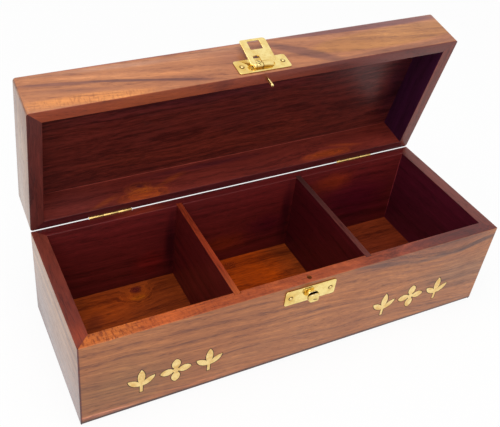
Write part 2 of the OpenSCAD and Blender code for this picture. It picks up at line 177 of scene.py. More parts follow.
class Graph:
    """Lays nodes in one shader tree and wires them."""

    def __init__(self, tree: bpy.types.NodeTree) -> None:
        """Starts with an empty tree."""
        self.tree = tree
        tree.nodes.clear()

    def node(self, kind: str, **settings: object) -> bpy.types.Node:
        """Adds one node.

        Args:
            kind: Blender's name of the node type.
            settings: properties set on the node.

        Returns:
            The new node.
        """
        made = self.tree.nodes.new(kind)
        for name, value in settings.items():
            setattr(made, name, value)
        return made

    def feed(self, target: Socket, source: object) -> None:
        """Gives a socket a link, a number or a colour."""
        if isinstance(source, bpy.types.NodeSocket):
            self.tree.links.new(source, target)
        elif isinstance(source, (int, float)):
            target.default_value = source
        elif target.type == "RGBA":
            target.default_value = (*source[:3], 1.0)
        else:
            target.default_value = source

    def math(self, operation: str, *values: object, clamp: bool = False) -> Socket:
        """Adds a Math node.

        Args:
            operation: Blender's name of the operation.
            values: what its inputs take.
            clamp: keeps the result between 0 and 1.

        Returns:
            Its value.
        """
        made = self.node("ShaderNodeMath", operation=operation, use_clamp=clamp)
        for target, source in zip(made.inputs, values):
            self.feed(target, source)
        return made.outputs[0]

    def vector(self, operation: str, *values: object) -> Socket:
        """Adds a Vector Math node and returns its vector."""
        made = self.node("ShaderNodeVectorMath", operation=operation)
        for target, source in zip(made.inputs, values):
            self.feed(target, source)
        return made.outputs["Value" if operation in ("LENGTH", "DOT_PRODUCT") else "Vector"]

    def noise(self, place: Socket, scale: float, detail: float = 2.0, rough: float = 0.5,
              output: str = "Fac") -> Socket:
        """Adds a 3-D noise.

        Args:
            place: where it is read.
            scale: its scale.
            detail: its octaves.
            rough: weight of the finer octaves.
            output: "Fac" or "Color".

        Returns:
            The chosen output.
        """
        made = self.node("ShaderNodeTexNoise")
        self.feed(made.inputs["Vector"], place)
        self.feed(made.inputs["Scale"], scale)
        self.feed(made.inputs["Detail"], detail)
        self.feed(made.inputs["Roughness"], rough)
        return made.outputs[output]

    def noise_line(self, along: Socket, detail: float, rough: float) -> Socket:
        """Adds a noise along one number and returns its value."""
        made = self.node("ShaderNodeTexNoise", noise_dimensions="1D")
        self.feed(made.inputs["W"], along)
        self.feed(made.inputs["Scale"], 1.0)
        self.feed(made.inputs["Detail"], detail)
        self.feed(made.inputs["Roughness"], rough)
        return made.outputs["Fac"]

    def span(self, value: Socket, low: object, high: object, start: float = 0.0,
             end: float = 1.0) -> Socket:
        """Eases a value from one range to another.

        Args:
            value: what is eased.
            low: where it starts to change.
            high: where it stops.
            start: result at low.
            end: result at high.

        Returns:
            The eased value.
        """
        made = self.node("ShaderNodeMapRange", interpolation_type="SMOOTHSTEP")
        for target, source in zip(made.inputs, (value, low, high, start, end)):
            self.feed(target, source)
        return made.outputs["Result"]

    def mix(self, share: object, low: object, high: object, blend: str = "MIX") -> Socket:
        """Mixes two colours.

        Args:
            share: share of the second colour.
            low: the first colour.
            high: the second colour.
            blend: Blender's name of the blend.

        Returns:
            The mixed colour.
        """
        made = self.node("ShaderNodeMix", data_type="RGBA", blend_type=blend)
        colours = [s for s in made.inputs if s.type == "RGBA"]
        self.feed(made.inputs["Factor"], share)
        self.feed(colours[0], low)
        self.feed(colours[1], high)
        return next(s for s in made.outputs if s.type == "RGBA")

    def mapping(self, place: Socket, kind: str = "POINT",
                location: Sequence[float] = (0, 0, 0), rotation: Sequence[float] = (0, 0, 0),
                scale: Sequence[float] = (1, 1, 1)) -> Socket:
        """Adds a Mapping node.

        Args:
            place: the coordinates to map.
            kind: "POINT" moves the pattern's places, "TEXTURE" sets up a patch.
            location: shift.
            rotation: turn in radians.
            scale: scale.

        Returns:
            The mapped coordinates.
        """
        made = self.node("ShaderNodeMapping", vector_type=kind)
        self.feed(made.inputs["Vector"], place)
        made.inputs["Location"].default_value = tuple(location)
        made.inputs["Rotation"].default_value = tuple(rotation)
        made.inputs["Scale"].default_value = tuple(scale)
        return made.outputs["Vector"]

    def group(self, tree: bpy.types.NodeTree, **inputs: object) -> bpy.types.Node:
        """Places a node group.

        Args:
            tree: the group.
            inputs: what its sockets take, with _ for a space in their names.

        Returns:
            The group's node.
        """
        made = self.node("ShaderNodeGroup")
        made.node_tree = tree
        for name, source in inputs.items():
            self.feed(made.inputs[name.replace("_", " ")], source)
        return made


class GroupMaker:
    """Starts a shader node group with named inputs and outputs."""

    def __init__(self, name: str, inputs: dict[str, tuple[str, object]],
                 outputs: dict[str, str]) -> None:
        """Args:
            name: the group's name.
            inputs: kind ("Float", "Vector" or "Color") and default of each input.
            outputs: kind of each output.
        """
        self.tree = bpy.data.node_groups.new(name, "ShaderNodeTree")
        for label, (kind, value) in inputs.items():
            made = self.tree.interface.new_socket(label, in_out="INPUT",
                                                  socket_type=f"NodeSocket{kind}")
            if value is not None:
                made.default_value = (*value, 1.0) if kind == "Color" else value
        for label, kind in outputs.items():
            self.tree.interface.new_socket(label, in_out="OUTPUT",
                                           socket_type=f"NodeSocket{kind}")
        self.graph = Graph(self.tree)
        self.inputs = self.graph.node("NodeGroupInput").outputs
        self.end = self.graph.node("NodeGroupOutput")

    def give(self, **outputs: Socket) -> bpy.types.NodeTree:
        """Wires the group's outputs and returns the group."""
        for name, source in outputs.items():
            self.graph.feed(self.end.inputs[name.replace("_", " ")], source)
        return self.tree


class Effects:
    """Shader groups that several finishes share.

    The scales are waves in a millimetre, where there are three along and across the grain
    or the polish. TEAR and RING are waves in a patch's reach, and ARRIS is in millimetres.
    """

    SWAY = (0.008, 0.026, 0.026)
    STREAK = (0.022, 0.5, 0.5)
    HAIR = (0.12, 1.9, 1.9)
    PORE = (0.17, 1.7, 1.7)
    FLECK = (0.75, 0.22, 0.22)
    RUB = (0.5, 7.0, 7.0)
    CROSS_RUB = (6.0, 0.5, 6.0)
    TARNISH = 0.22
    WEAR = 0.12
    TEAR = 2.2
    RING = 22.0
    ARRIS = 0.9

    def __init__(self) -> None:
        """Builds each group once."""
        self.wood = self._wood()
        self.patch = self._patch()
        self.tint = self._tint()
        self.edge = self._edge()
        self.brass = self._brass()

    def _wood(self) -> bpy.types.NodeTree:
        """Growth rings, fibre and pores of a board whose grain runs along X, in millimetres."""
        maker = GroupMaker(
            "Wood grain",
            {"Place": ("Vector", None), "Swirl": ("Float", 0.0), "Pitch": ("Float", 6.0),
             "Wander": ("Float", 6.0)},
            {"Band": "Float", "Fibre": "Float", "Pores": "Float", "Fleck": "Float"})
        g, place = maker.graph, maker.inputs["Place"]
        slow = g.noise(g.vector("MULTIPLY", place, self.SWAY), 1.0, output="Color")
        sway = g.vector("MULTIPLY", g.vector("SUBTRACT", slow, (0.5, 0.5, 0.5)), (0.0, 2.0, 2.0))
        wander = g.vector("MULTIPLY", sway, maker.inputs["Wander"])
        aside = g.vector("MULTIPLY", maker.inputs["Swirl"], (0.0, 1.0, 1.0))
        bent = g.vector("ADD", g.vector("ADD", place, wander), aside)
        radius = g.vector("LENGTH", g.vector("MULTIPLY", bent, (0.0, 1.0, 1.0)))
        ring = g.math("DIVIDE", radius, maker.inputs["Pitch"])
        band = g.span(g.noise_line(ring, 3.0, 0.55), 0.25, 0.75)
        streak = g.noise(g.vector("MULTIPLY", bent, self.STREAK), 1.0)
        hair = g.noise(g.vector("MULTIPLY", bent, self.HAIR), 1.0, 3.0, 0.6)
        fibre = g.math("ADD", g.math("MULTIPLY", g.span(streak, 0.3, 0.7), 0.4),
                       g.math("MULTIPLY", g.span(hair, 0.3, 0.7), 0.6))
        dashes = g.noise(g.vector("MULTIPLY", bent, self.PORE), 1.0, 2.0, 0.45)
        pores = g.math("MULTIPLY", g.span(dashes, 0.57, 0.68), g.span(streak, 0.3, 0.6, 1.0, 0.4))
        leant = g.mapping(place, rotation=(0.0, 0.0, 0.5), scale=self.FLECK)
        fleck = g.span(g.noise(leant, 1.0, 3.0, 0.55), 0.46, 0.66)
        return maker.give(Band=band, Fibre=fibre, Pores=pores, Fleck=fleck)

    def _patch(self) -> bpy.types.NodeTree:
        """Soft-edged spot within the unit sphere of the coordinates it is given."""
        maker = GroupMaker(
            "Patch", {"Place": ("Vector", None), "Ragged": ("Float", 0.3), "Core": ("Float", 0.2)},
            {"Mask": "Float", "Rings": "Float"})
        g, place = maker.graph, maker.inputs["Place"]
        rough = g.noise(place, self.TEAR, 3.0, 0.6)
        lift = g.math("MULTIPLY", g.math("SUBTRACT", rough, 0.5), maker.inputs["Ragged"])
        reach = g.math("ADD", g.vector("LENGTH", place), g.math("MULTIPLY", lift, 2.0))
        mask = g.span(reach, maker.inputs["Core"], 1.0, 1.0, 0.0)
        rings = g.math("MULTIPLY", g.math("SINE", g.math("MULTIPLY", reach, self.RING)), mask)
        return maker.give(Mask=mask, Rings=rings)

    @staticmethod
    def _tint() -> bpy.types.NodeTree:
        """Colour of wood between its dark, middle and light tones."""
        maker = GroupMaker(
            "Wood colour",
            {"Band": ("Float", 0.5), "Fibre": ("Float", 0.5), "Pores": ("Float", 0.0),
             "Figure": ("Float", 1.0), "Dark": ("Color", (0.1, 0.03, 0.02)),
             "Middle": ("Color", (0.2, 0.07, 0.03)), "Light": ("Color", (0.3, 0.12, 0.05)),
             "Pore": ("Color", (0.04, 0.01, 0.01))},
            {"Color": "Color"})
        g, i = maker.graph, maker.inputs
        swing = g.math("ADD", g.math("MULTIPLY", g.math("SUBTRACT", i["Band"], 0.5), 0.55),
                       g.math("MULTIPLY", g.math("SUBTRACT", i["Fibre"], 0.5), 0.85))
        level = g.math("MULTIPLY_ADD", swing, i["Figure"], 0.5)
        low = g.mix(g.span(level, 0.0, 0.5), i["Dark"], i["Middle"])
        whole = g.mix(g.span(level, 0.5, 1.0), low, i["Light"])
        return maker.give(Color=g.mix(g.math("MULTIPLY", i["Pores"], 0.55), whole, i["Pore"]))

    def _edge(self) -> bpy.types.NodeTree:
        """Is 1 where an arris is rubbed; there the wood is lightened, as wear and as a painted
        sheen.
        """
        maker = GroupMaker("Edge wear and sheen", {"Place": ("Vector", None)}, {"Mask": "Float"})
        g = maker.graph
        bevel = g.node("ShaderNodeBevel", samples=4)
        bevel.inputs["Radius"].default_value = self.ARRIS * MM
        flat = g.vector("DOT_PRODUCT", bevel.outputs["Normal"],
                        g.node("ShaderNodeNewGeometry").outputs["True Normal"])
        rubbed = g.noise(maker.inputs["Place"], self.WEAR, 3.0, 0.6)
        return maker.give(Mask=g.math("MULTIPLY", g.span(flat, 0.8, 0.97, 1.0, 0.0),
                                      g.span(rubbed, 0.35, 0.65, 0.3, 1.0)))

    def _brass(self) -> bpy.types.NodeTree:
        """Fine scratches, tarnish and rubbed clouds of polished brass, in millimetres."""
        maker = GroupMaker(
            "Brass wear", {"Place": ("Vector", None), "Fine": ("Float", 1.0)},
            {"Cloud": "Float", "Scratch": "Float"})
        g, place = maker.graph, maker.inputs["Place"]
        cloud = g.span(g.noise(place, self.TARNISH, 3.0, 0.6), 0.35, 0.7)
        rubbed = g.noise(g.vector("MULTIPLY", place, self.RUB), 1.0, 2.0, 0.6)
        askew = g.mapping(place, rotation=(0.5, 0.7, 0.9), scale=self.CROSS_RUB)
        crossed = g.noise(askew, 1.0, 2.0, 0.6)
        scratch = g.math("MAXIMUM", g.span(rubbed, 0.6, 0.75), g.span(crossed, 0.62, 0.75))
        return maker.give(Cloud=cloud, Scratch=g.math("MULTIPLY", scratch, maker.inputs["Fine"]))


EFFECTS = Effects()


# ---------------------------------------------------------------- finishes


def new_material(name: str) -> tuple[bpy.types.Material, Graph]:
    """Makes an empty material and the graph of its nodes."""
    made = bpy.data.materials.new(name)
    made.use_nodes = True
    return made, Graph(made.node_tree)


def shader(graph: Graph, **values: object) -> bpy.types.Node:
    """Adds a Principled shader with its output.

    Args:
        graph: the material's tree.
        values: what its sockets take, with _ for a space in their names.

    Returns:
        The shader's node.
    """
    made = graph.node("ShaderNodeBsdfPrincipled")
    for name, source in values.items():
        graph.feed(made.inputs[name.replace("_", " ")], source)
    graph.tree.links.new(made.outputs[0], graph.node("ShaderNodeOutputMaterial").inputs["Surface"])
    return made


def facing(graph: Graph, way: Way, in_lid: bool, low: float = 0.5, high: float = 0.8) -> Socket:
    """Is 1 on the faces that look one way on the shut box.

    Args:
        graph: the material's tree.
        way: the way.
        in_lid: whether the piece rides on the lid.
        low: cosine of the turn at which it is 0.
        high: cosine of the turn at which it is 1.

    Returns:
        The share.
    """
    looks = Vector(way.value)
    if in_lid:
        looks = BOX.opening.to_3x3() @ looks
    normal = graph.node("ShaderNodeTexCoord").outputs["Normal"]
    return graph.span(graph.vector("DOT_PRODUCT", normal, looks), low, high)


def relief(graph: Graph, height: Socket, deep: float, strength: float) -> Socket:
    """Adds a bump.

    Args:
        graph: the material's tree.
        height: height of the relief, from 0 to 1.
        deep: its depth in millimetres.
        strength: the share of it that shows.

    Returns:
        The normal.
    """
    bump = graph.node("ShaderNodeBump")
    for name, source in (("Strength", strength), ("Distance", deep * MM), ("Height", height)):
        graph.feed(bump.inputs[name], source)
    return bump.outputs[0]


@dataclass(frozen=True)
class Patch:
    """Streak, knot or stain in the wood, or a painted shade, shadow or highlight, in millimetres
    on the shut box.

    tone is how many times the wood's own colour it is, lean its turn in degrees, and facing
    keeps it to the faces that look one way. ragged is how torn its edge is, and core the
    share of its reach that is even. swirl is how many millimetres it pushes the growth
    rings, and rings and fleck are how strongly a knot's rings and cross flecks show in it.
    """

    centre: tuple[float, float, float]
    reach: tuple[float, float, float]
    tone: Colour
    lean: tuple[float, float, float] = (0.0, 0.0, 0.0)
    facing: Way | None = None
    ragged: float = 0.35
    core: float = 0.1
    swirl: float = 0.0
    rings: float = 0.0
    fleck: float = 0.0


def shut_place(graph: Graph, in_lid: bool) -> Socket:
    """Coordinates in millimetres on the shut box."""
    place = graph.node("ShaderNodeTexCoord").outputs["Object"]
    back = BOX.opening.inverted() if in_lid else Matrix.Identity(4)
    return graph.mapping(place, location=back.translation, rotation=back.to_euler(),
                         scale=(1 / MM,) * 3)


def patch_masks(graph: Graph, place: Socket, patch: Patch) -> dict[str, Socket]:
    """Adds the masks of one patch."""
    lean = tuple(math.radians(turn) for turn in patch.lean)
    local = graph.mapping(place, "TEXTURE", patch.centre, lean, patch.reach)
    return graph.group(EFFECTS.patch, Place=local, Ragged=patch.ragged,
                       Core=patch.core).outputs


@dataclass(frozen=True)
class WoodFinish:
    """Oiled and polished rosewood of one board.

    heart is where the heart of the tree runs, seen along the grain, in millimetres. deep,
    pale and pore are how many times the middle colour they are, and clouded, rubbed and
    flecked how many times the colour that they lie on. rubbed lightens the rubbed arrises,
    as wear and as a painted sheen.
    """

    name: str
    middle: Colour
    outward: Way
    deep: Colour = (0.5, 0.42, 0.5)
    pale: Colour = (1.4, 1.5, 1.5)
    pore: float = 0.3
    figure: float = 0.9
    pitch: float = 6.0
    wander: float = 8.0
    heart: tuple[float, float] = (-40.0, -60.0)
    shift: float = 0.0
    grain: Grain = Grain.STANDING
    lean: float = 0.0
    in_lid: bool = False
    rough: float = 0.36
    gloss: float = 0.4
    coat: float = 0.2
    inner_coat: float = 0.03
    coat_rough: float = 0.16
    clouded: Colour = (0.86, 0.8, 0.82)
    rubbed: Colour = (1.5, 1.55, 1.5)
    flecked: Colour = (0.45, 0.3, 0.3)
    patches: tuple[Patch, ...] = ()

    def build(self) -> bpy.types.Material:
        """Makes the material."""
        material, g = new_material(self.name)
        place = shut_place(g, self.in_lid)
        along = g.mapping(place, rotation=self.grain.turn(self.lean),
                          location=(self.shift, -self.heart[0], -self.heart[1]))
        spots = [(patch, patch_masks(g, place, patch)) for patch in self.patches]
        swirl: object = 0.0
        for patch, spot in spots:
            if patch.swirl:
                swirl = g.math("MULTIPLY_ADD", spot["Mask"], patch.swirl, swirl)
        grain = g.group(EFFECTS.wood, Place=along, Swirl=swirl, Pitch=self.pitch,
                        Wander=self.wander).outputs
        colour = g.group(EFFECTS.tint, Band=grain["Band"], Fibre=grain["Fibre"],
                         Pores=grain["Pores"], Figure=self.figure, Dark=self._tone(self.deep),
                         Middle=self.middle, Light=self._tone(self.pale),
                         Pore=self._tone((self.pore,) * 3)).outputs["Color"]
        for patch, spot in spots:
            colour = self._stain(g, colour, patch, spot, grain["Fleck"])
        cloud = g.noise(along, 0.022, 3.0, 0.55)
        colour = g.mix(g.span(cloud, 0.35, 0.7), colour, self.clouded, "MULTIPLY")
        arris_wear_and_sheen = g.group(EFFECTS.edge, Place=place).outputs["Mask"]
        # Lighter on rubbed arrises: wear, and a painted sheen on the arris.
        colour = g.mix(g.math("MULTIPLY", arris_wear_and_sheen, 0.3), colour, self.rubbed, "MULTIPLY")
        rough = g.math("MULTIPLY_ADD", grain["Pores"], 0.2,
                       g.span(cloud, 0.3, 0.7, self.rough - 0.03, self.rough + 0.05))
        height = g.math("SUBTRACT", g.math("MULTIPLY", grain["Fibre"], 0.3), grain["Pores"])
        coat = g.math("MULTIPLY_ADD", facing(g, self.outward, self.in_lid),
                      self.coat - self.inner_coat, self.inner_coat)
        shader(g, Base_Color=colour, Roughness=g.math("MULTIPLY_ADD", arris_wear_and_sheen, 0.08, rough),
               Normal=relief(g, height, 0.08, 0.3), Specular_IOR_Level=self.gloss,
               Coat_Weight=coat, Coat_Roughness=self.coat_rough)
        return material

    def _tone(self, tone: Colour) -> Colour:
        """The wood's own colour times a tone."""
        return tuple(own * times for own, times in zip(self.middle, tone))

    def _stain(self, g: Graph, colour: Socket, patch: Patch, spot: dict[str, Socket],
               fleck: Socket) -> Socket:
        """Colours the wood within one patch.

        Args:
            g: the material's tree.
            colour: the wood's colour so far.
            patch: the patch.
            spot: its masks.
            fleck: where the wood's cross flecks lie.

        Returns:
            The new colour.
        """
        share = spot["Mask"]
        if patch.rings:
            share = g.math("MULTIPLY_ADD", spot["Rings"], patch.rings, share, clamp=True)
        if patch.facing:
            share = g.math("MULTIPLY", share, facing(g, patch.facing, self.in_lid))
        colour = g.mix(share, colour, patch.tone, "MULTIPLY")
        if patch.fleck:
            dark = g.math("MULTIPLY", g.math("MULTIPLY", share, fleck), patch.fleck)
            colour = g.mix(dark, colour, self.flecked, "MULTIPLY")
        return colour


@dataclass(frozen=True)
class BrassFinish:
    """Polished brass with rubbed clouds and hairline scratches."""

    name: str
    colour: Colour = (0.9, 0.69, 0.25)
    dull: Colour = (0.8, 0.52, 0.15)
    rough: float = 0.14
    clouding: float = 0.35
    scratches: float = 0.35
    outward: Way | None = None
    in_lid: bool = False
    # sides is the colour of faces that turn away from the outward way: a painted shade.
    sides: Colour = (0.42, 0.24, 0.07)
    # Patches laid on the brass: tarnish, and painted shade and painted reflection.
    tarnish_and_shade: tuple[Patch, ...] = ()

    def build(self) -> bpy.types.Material:
        """Makes the material."""
        material, g = new_material(self.name)
        place = shut_place(g, self.in_lid)
        wear = g.group(EFFECTS.brass, Place=place, Fine=self.scratches).outputs
        colour = g.mix(g.math("MULTIPLY", wear["Cloud"], self.clouding), self.colour, self.dull)
        # Faces that turn away from the outward way take the sides colour, which paints shade on
        # them.
        if self.outward:
            polished = facing(g, self.outward, self.in_lid, 0.1, 0.6)
            colour = g.mix(polished, self.sides, colour)
        for patch in self.tarnish_and_shade:
            colour = g.mix(patch_masks(g, place, patch)["Mask"], colour, patch.tone, "MULTIPLY")
        rough = g.math("MULTIPLY_ADD", wear["Scratch"], 0.12,
                       g.span(wear["Cloud"], 0.0, 1.0, self.rough, self.rough + 0.12))
        shader(g, Base_Color=colour, Metallic=1.0, Roughness=rough,
               Normal=relief(g, wear["Scratch"], 0.02, 0.05))
        return material


@dataclass(frozen=True)
class FillerFinish:
    """Dark filler set round inlay and in joints."""

    name: str = "Dark filler"
    colour: Colour = (0.02, 0.009, 0.008)
    fleck: Colour = (0.06, 0.025, 0.018)

    def build(self) -> bpy.types.Material:
        """Makes the material."""
        material, g = new_material(self.name)
        place = g.mapping(g.node("ShaderNodeTexCoord").outputs["Object"], scale=(1 / MM,) * 3)
        fleck = g.noise(place, 1.6, 3.0, 0.6)
        shader(g, Base_Color=g.mix(g.span(fleck, 0.45, 0.7), self.colour, self.fleck),
               Roughness=g.span(fleck, 0.3, 0.7, 0.6, 0.85), Specular_IOR_Level=0.2)
        return material


# ---------------------------------------------------------------- bench


def metres(matrix: Matrix) -> Matrix:
    """Turns a move in millimetres into the same move in metres."""
    moved = matrix.copy()
    moved.translation = matrix.translation * MM
    return moved


def upright(a: Vector, b: Vector) -> bool:
    """Tells whether the edge between two corners runs up or down."""
    return abs(a.z - b.z) > 0.1


class Bench:
    """Hand tools of the modelling bench. Sizes and places go in as millimetres."""

    @staticmethod
    def take(*pieces: Piece) -> None:
        """Selects these pieces alone; the first is the one worked on."""
        if bpy.context.object is not None and bpy.context.object.mode != "OBJECT":
            bpy.ops.object.mode_set(mode="OBJECT")
        bpy.ops.object.select_all(action="DESELECT")
        for piece in pieces:
            piece.select_set(True)
        bpy.context.view_layer.objects.active = pieces[0] if pieces else None

    @classmethod
    def _added(cls, name: str) -> Piece:
        """Names the piece just added and sets its place into its mesh."""
        piece = bpy.context.object
        piece.name = piece.data.name = name
        cls.settle(piece)
        return piece

    @classmethod
    def settle(cls, piece: Piece) -> None:
        """Applies a piece's move, turn and scale to its mesh."""
        cls.take(piece)
        bpy.ops.object.transform_apply(location=True, rotation=True, scale=True)

    @classmethod
    def block(cls, name: str, low: Sequence[float], high: Sequence[float]) -> Piece:
        """Adds a block between two corners."""
        cls.take()
        low, high = Vector(low) * MM, Vector(high) * MM
        bpy.ops.mesh.primitive_cube_add(size=1.0, location=(low + high) / 2, scale=high - low)
        return cls._added(name)

    @classmethod
    def rod(cls, name: str, centre: Sequence[float], radius: float, length: float,
            axis: Axis = Axis.Z, sides: int = 48, tip: float | None = None) -> Piece:
        """Adds a round bar.

        Args:
            name: the piece's name.
            centre: its middle.
            radius: its radius.
            length: its length.
            axis: the way it runs.
            sides: how many flat sides make the round.
            tip: radius at its far end, where it tapers.

        Returns:
            The piece.
        """
        cls.take()
        bpy.ops.mesh.primitive_cone_add(
            vertices=sides, radius1=radius * MM, radius2=(radius if tip is None else tip) * MM,
            depth=length * MM, location=Vector(centre) * MM, rotation=axis.value)
        return cls._added(name)

    @classmethod
    @contextmanager
    def editing(cls, piece: Piece) -> Iterator[None]:
        """Opens a piece in edit mode with nothing selected, and closes it again."""
        cls.take(piece)
        bpy.ops.object.mode_set(mode="EDIT")
        bpy.ops.mesh.select_all(action="DESELECT")
        yield
        bpy.ops.object.mode_set(mode="OBJECT")

    @staticmethod
    def pick_edges(test: Callable[[Vector, Vector], bool]) -> int:
        """Selects the edges whose two ends, in millimetres, pass the test."""
        bpy.ops.mesh.select_mode(type="EDGE")
        mesh = bpy.context.object.data
        bm = bmesh.from_edit_mesh(mesh)
        picked = [e for e in bm.edges if test(e.verts[0].co / MM, e.verts[1].co / MM)]
        for edge in picked:
            edge.select_set(True)
        bmesh.update_edit_mesh(mesh)
        return len(picked)

    @classmethod
    def saw(cls, piece: Piece, place: Sequence[float], waste: Sequence[float]) -> None:
        """Saws off what lies beyond a plane.

        Args:
            piece: the piece that is sawn.
            place: a point of the saw cut.
            waste: the way from the cut into the waste.
        """
        with cls.editing(piece):
            bpy.ops.mesh.select_all(action="SELECT")
            bpy.ops.mesh.bisect(plane_co=Vector(place) * MM, plane_no=waste, use_fill=True,
                                clear_outer=True)

    @classmethod
    def round_edges(cls, piece: Piece, radius: float, segments: int,
                    test: Callable[[Vector, Vector], bool]) -> None:
        """Rounds the edges of a piece that pass the test."""
        with cls.editing(piece):
            if cls.pick_edges(test):
                bpy.ops.mesh.bevel(offset=radius * MM, segments=segments, affect="EDGES",
                                   clamp_overlap=True)

    @classmethod
    def soften(cls, piece: Piece, width: float, segments: int = 2, angle: float = 35.0) -> None:
        """Eases every edge of a piece sharper than the angle."""
        cls.take(piece)
        bpy.ops.object.modifier_add(type="BEVEL")
        bevel = piece.modifiers[-1]
        bevel.width = width * MM
        bevel.segments = segments
        bevel.limit_method = "ANGLE"
        bevel.angle_limit = math.radians(angle)
        bevel.miter_outer = "MITER_ARC"
        bpy.ops.object.modifier_apply(modifier=bevel.name)

    @classmethod
    def combine(cls, piece: Piece, tool: Piece, way: str = "DIFFERENCE") -> Piece:
        """Cuts, joins or meets a piece with a tool, which is used up."""
        cls.take(piece)
        bpy.ops.object.modifier_add(type="BOOLEAN")
        cutter = piece.modifiers[-1]
        cutter.object = tool
        cutter.operation = way
        cutter.solver = "EXACT"
        bpy.ops.object.modifier_apply(modifier=cutter.name)
        cls.discard(tool)
        cls.take(piece)
        return piece

    @classmethod
    def discard(cls, *pieces: Piece) -> None:
        """Deletes pieces."""
        cls.take(*pieces)
        bpy.ops.object.delete()

    @classmethod
    def bore(cls, piece: Piece, centre: Sequence[float], radius: float, length: float) -> None:
        """Bores a piece along X."""
        cls.combine(piece, cls.rod("bore", centre, radius, length, Axis.X, WIRE_SIDES))

    @classmethod
    def copy(cls, piece: Piece, name: str, move: Matrix) -> Piece:
        """Copies a piece, with its own mesh, and moves the copy."""
        cls.take(piece)
        bpy.ops.object.duplicate(linked=False)
        made = bpy.context.object
        made.name = made.data.name = name
        made.matrix_world = metres(move)
        cls.settle(made)
        return made

    @classmethod
    def join(cls, name: str, pieces: Sequence[Piece]) -> Piece:
        """Joins pieces into one."""
        cls.take(*pieces)
        bpy.ops.object.join()
        made = bpy.context.object
        made.name = made.data.name = name
        return made

    @classmethod
    def mount(cls, piece: Piece, move: Matrix) -> Piece:
        """Sets a finished piece in its place."""
        piece.matrix_world = metres(move) @ piece.matrix_world
        cls.settle(piece)
        return piece

    @classmethod
    def smooth(cls, piece: Piece, angle: float = 30.0) -> Piece:
        """Turns the normals outwards and shades a piece smooth up to the angle."""
        with cls.editing(piece):
            bpy.ops.mesh.select_all(action="SELECT")
            bpy.ops.mesh.normals_make_consistent(inside=False)
        bpy.ops.object.shade_smooth_by_angle(angle=math.radians(angle))
        return piece


def dress(piece: Piece, material: bpy.types.Material) -> None:
    """Gives a piece one material all over."""
    piece.data.materials.clear()
    piece.data.materials.append(material)


def hand_over(piece: Piece, body: Body, material: bpy.types.Material,
              node: str) -> None:
    """Finishes a piece.

    Args:
        piece: the finished piece.
        body: what it rides on.
        material: its material.
        node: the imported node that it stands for.
    """
    dress(piece, material)
    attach(piece, body.value)
    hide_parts(node)
    LOG.info("made %s on %s", piece.name, body.value)


# ---------------------------------------------------------------- wood


@dataclass(frozen=True)
class Carcass:
    """Four mitred boards round a panel, drawn on the shut box.

    rim is the height of their open rim and far the height of the panel's outer face.
    """

    rim: float
    far: float
    outer_round: float
    seat: float
    rebate: float = 4.0
    ease: float = 0.5
    back_ease: float = 0.12

    def board(self, name: str, side: Way) -> Piece:
        """Makes the board on one side, mitred, rebated and eased."""
        half_l, half_w = BOX.length / 2, BOX.depth / 2
        right, left = half_l - BOX.side, BOX.side - half_l
        front, back = BOX.front - half_w, half_w - BOX.back
        low, high = sorted((self.rim, self.far))
        spans = {Way.FRONT: (-half_l, -half_w, half_l, front),
                 Way.BACK: (-half_l, back, half_l, half_w),
                 Way.LEFT: (-half_l, -half_w, left, half_w),
                 Way.RIGHT: (right, -half_w, half_l, half_w)}
        x0, y0, x1, y1 = spans[side]
        board = Bench.block(name, (x0, y0, low), (x1, y1, high))
        middle = Vector(((x0 + x1) / 2, (y0 + y1) / 2, 0))
        for start in (Vector((x, y, 0)) for x in (left, right) for y in (front, back)):
            end = Vector((math.copysign(half_l, start.x), math.copysign(half_w, start.y), 0))
            if x0 <= end.x <= x1 and y0 <= end.y <= y1:
                waste = (end - start).cross(Vector((0, 0, 1)))
                if waste.dot(middle - start) > 0:
                    waste.negate()
                Bench.saw(board, start, waste)
        seat = self.far + math.copysign(self.seat, self.rim - self.far)
        past = self.far - math.copysign(1, self.rim - self.far)
        Bench.combine(board, Bench.block(
            "panel_seat", (left - self.rebate, front - self.rebate, min(seat, past)),
            (right + self.rebate, back + self.rebate, max(seat, past))))
        for sharp in (False, True):
            Bench.round_edges(
                board, self.back_ease if sharp else self.ease, 3, lambda a, b:
                max(abs(a.z - self.rim), abs(b.z - self.rim)) < NEAR and (a - b).length > 50
                and (min(a.y, b.y) > half_w - NEAR) is sharp)
        return Bench.combine(board, self._hull(low, high), "INTERSECT")

    def _hull(self, low: float, high: float) -> Piece:
        """Makes the outer shape of the four boards together."""
        half_l, half_w = BOX.length / 2, BOX.depth / 2
        hull = Bench.block("hull", (-half_l, -half_w, low), (half_l, half_w, high))
        Bench.round_edges(hull, self.outer_round, 6, lambda a, b: upright(a, b)
                          or max(abs(a.z - self.far), abs(b.z - self.far)) < NEAR)
        return hull


# Millimetres that a patch on a standing face goes in and out.
FACE_DEEP = 14.0

# What makes a patch even nearly to its edge, to cover the whole of a face.
WHOLE = {"core": 0.9, "ragged": 0.1}


def on_face(y: float, x: float, z: float, long: float, high: float, tone: Colour,
            fall: float = 0.0, **more: float) -> Patch:
    """Makes a patch on a standing face that looks to the front.

    Args:
        y: place of the face.
        x: middle of the patch along the box.
        z: height of its middle.
        long: half its length.
        high: half its height.
        tone: its tone.
        fall: degrees by which it falls to the right.
        more: the patch's other fields.

    Returns:
        The patch.
    """
    return Patch((x, y, z), (long, FACE_DEEP, high), tone, (0.0, fall, 0.0), Way.FRONT, **more)


def on_level(z: float, deep: float, way: Way | None, x: float, y: float, long: float,
             wide: float, tone: Colour, turn: float = 0.0, **more: float) -> Patch:
    """Makes a patch on a level face.

    Args:
        z: height of the face.
        deep: how far the patch goes up and down from it.
        way: the way the face looks, where other faces are to be spared.
        x: middle of the patch along the box.
        y: middle of the patch across the box.
        long: half its length.
        wide: half its width.
        tone: its tone.
        turn: degrees by which it is turned to the left, seen from above.
        more: the patch's other fields.

    Returns:
        The patch.
    """
    return Patch((x, y, z), (long, wide, deep), tone, (0.0, 0.0, turn), way, **more)


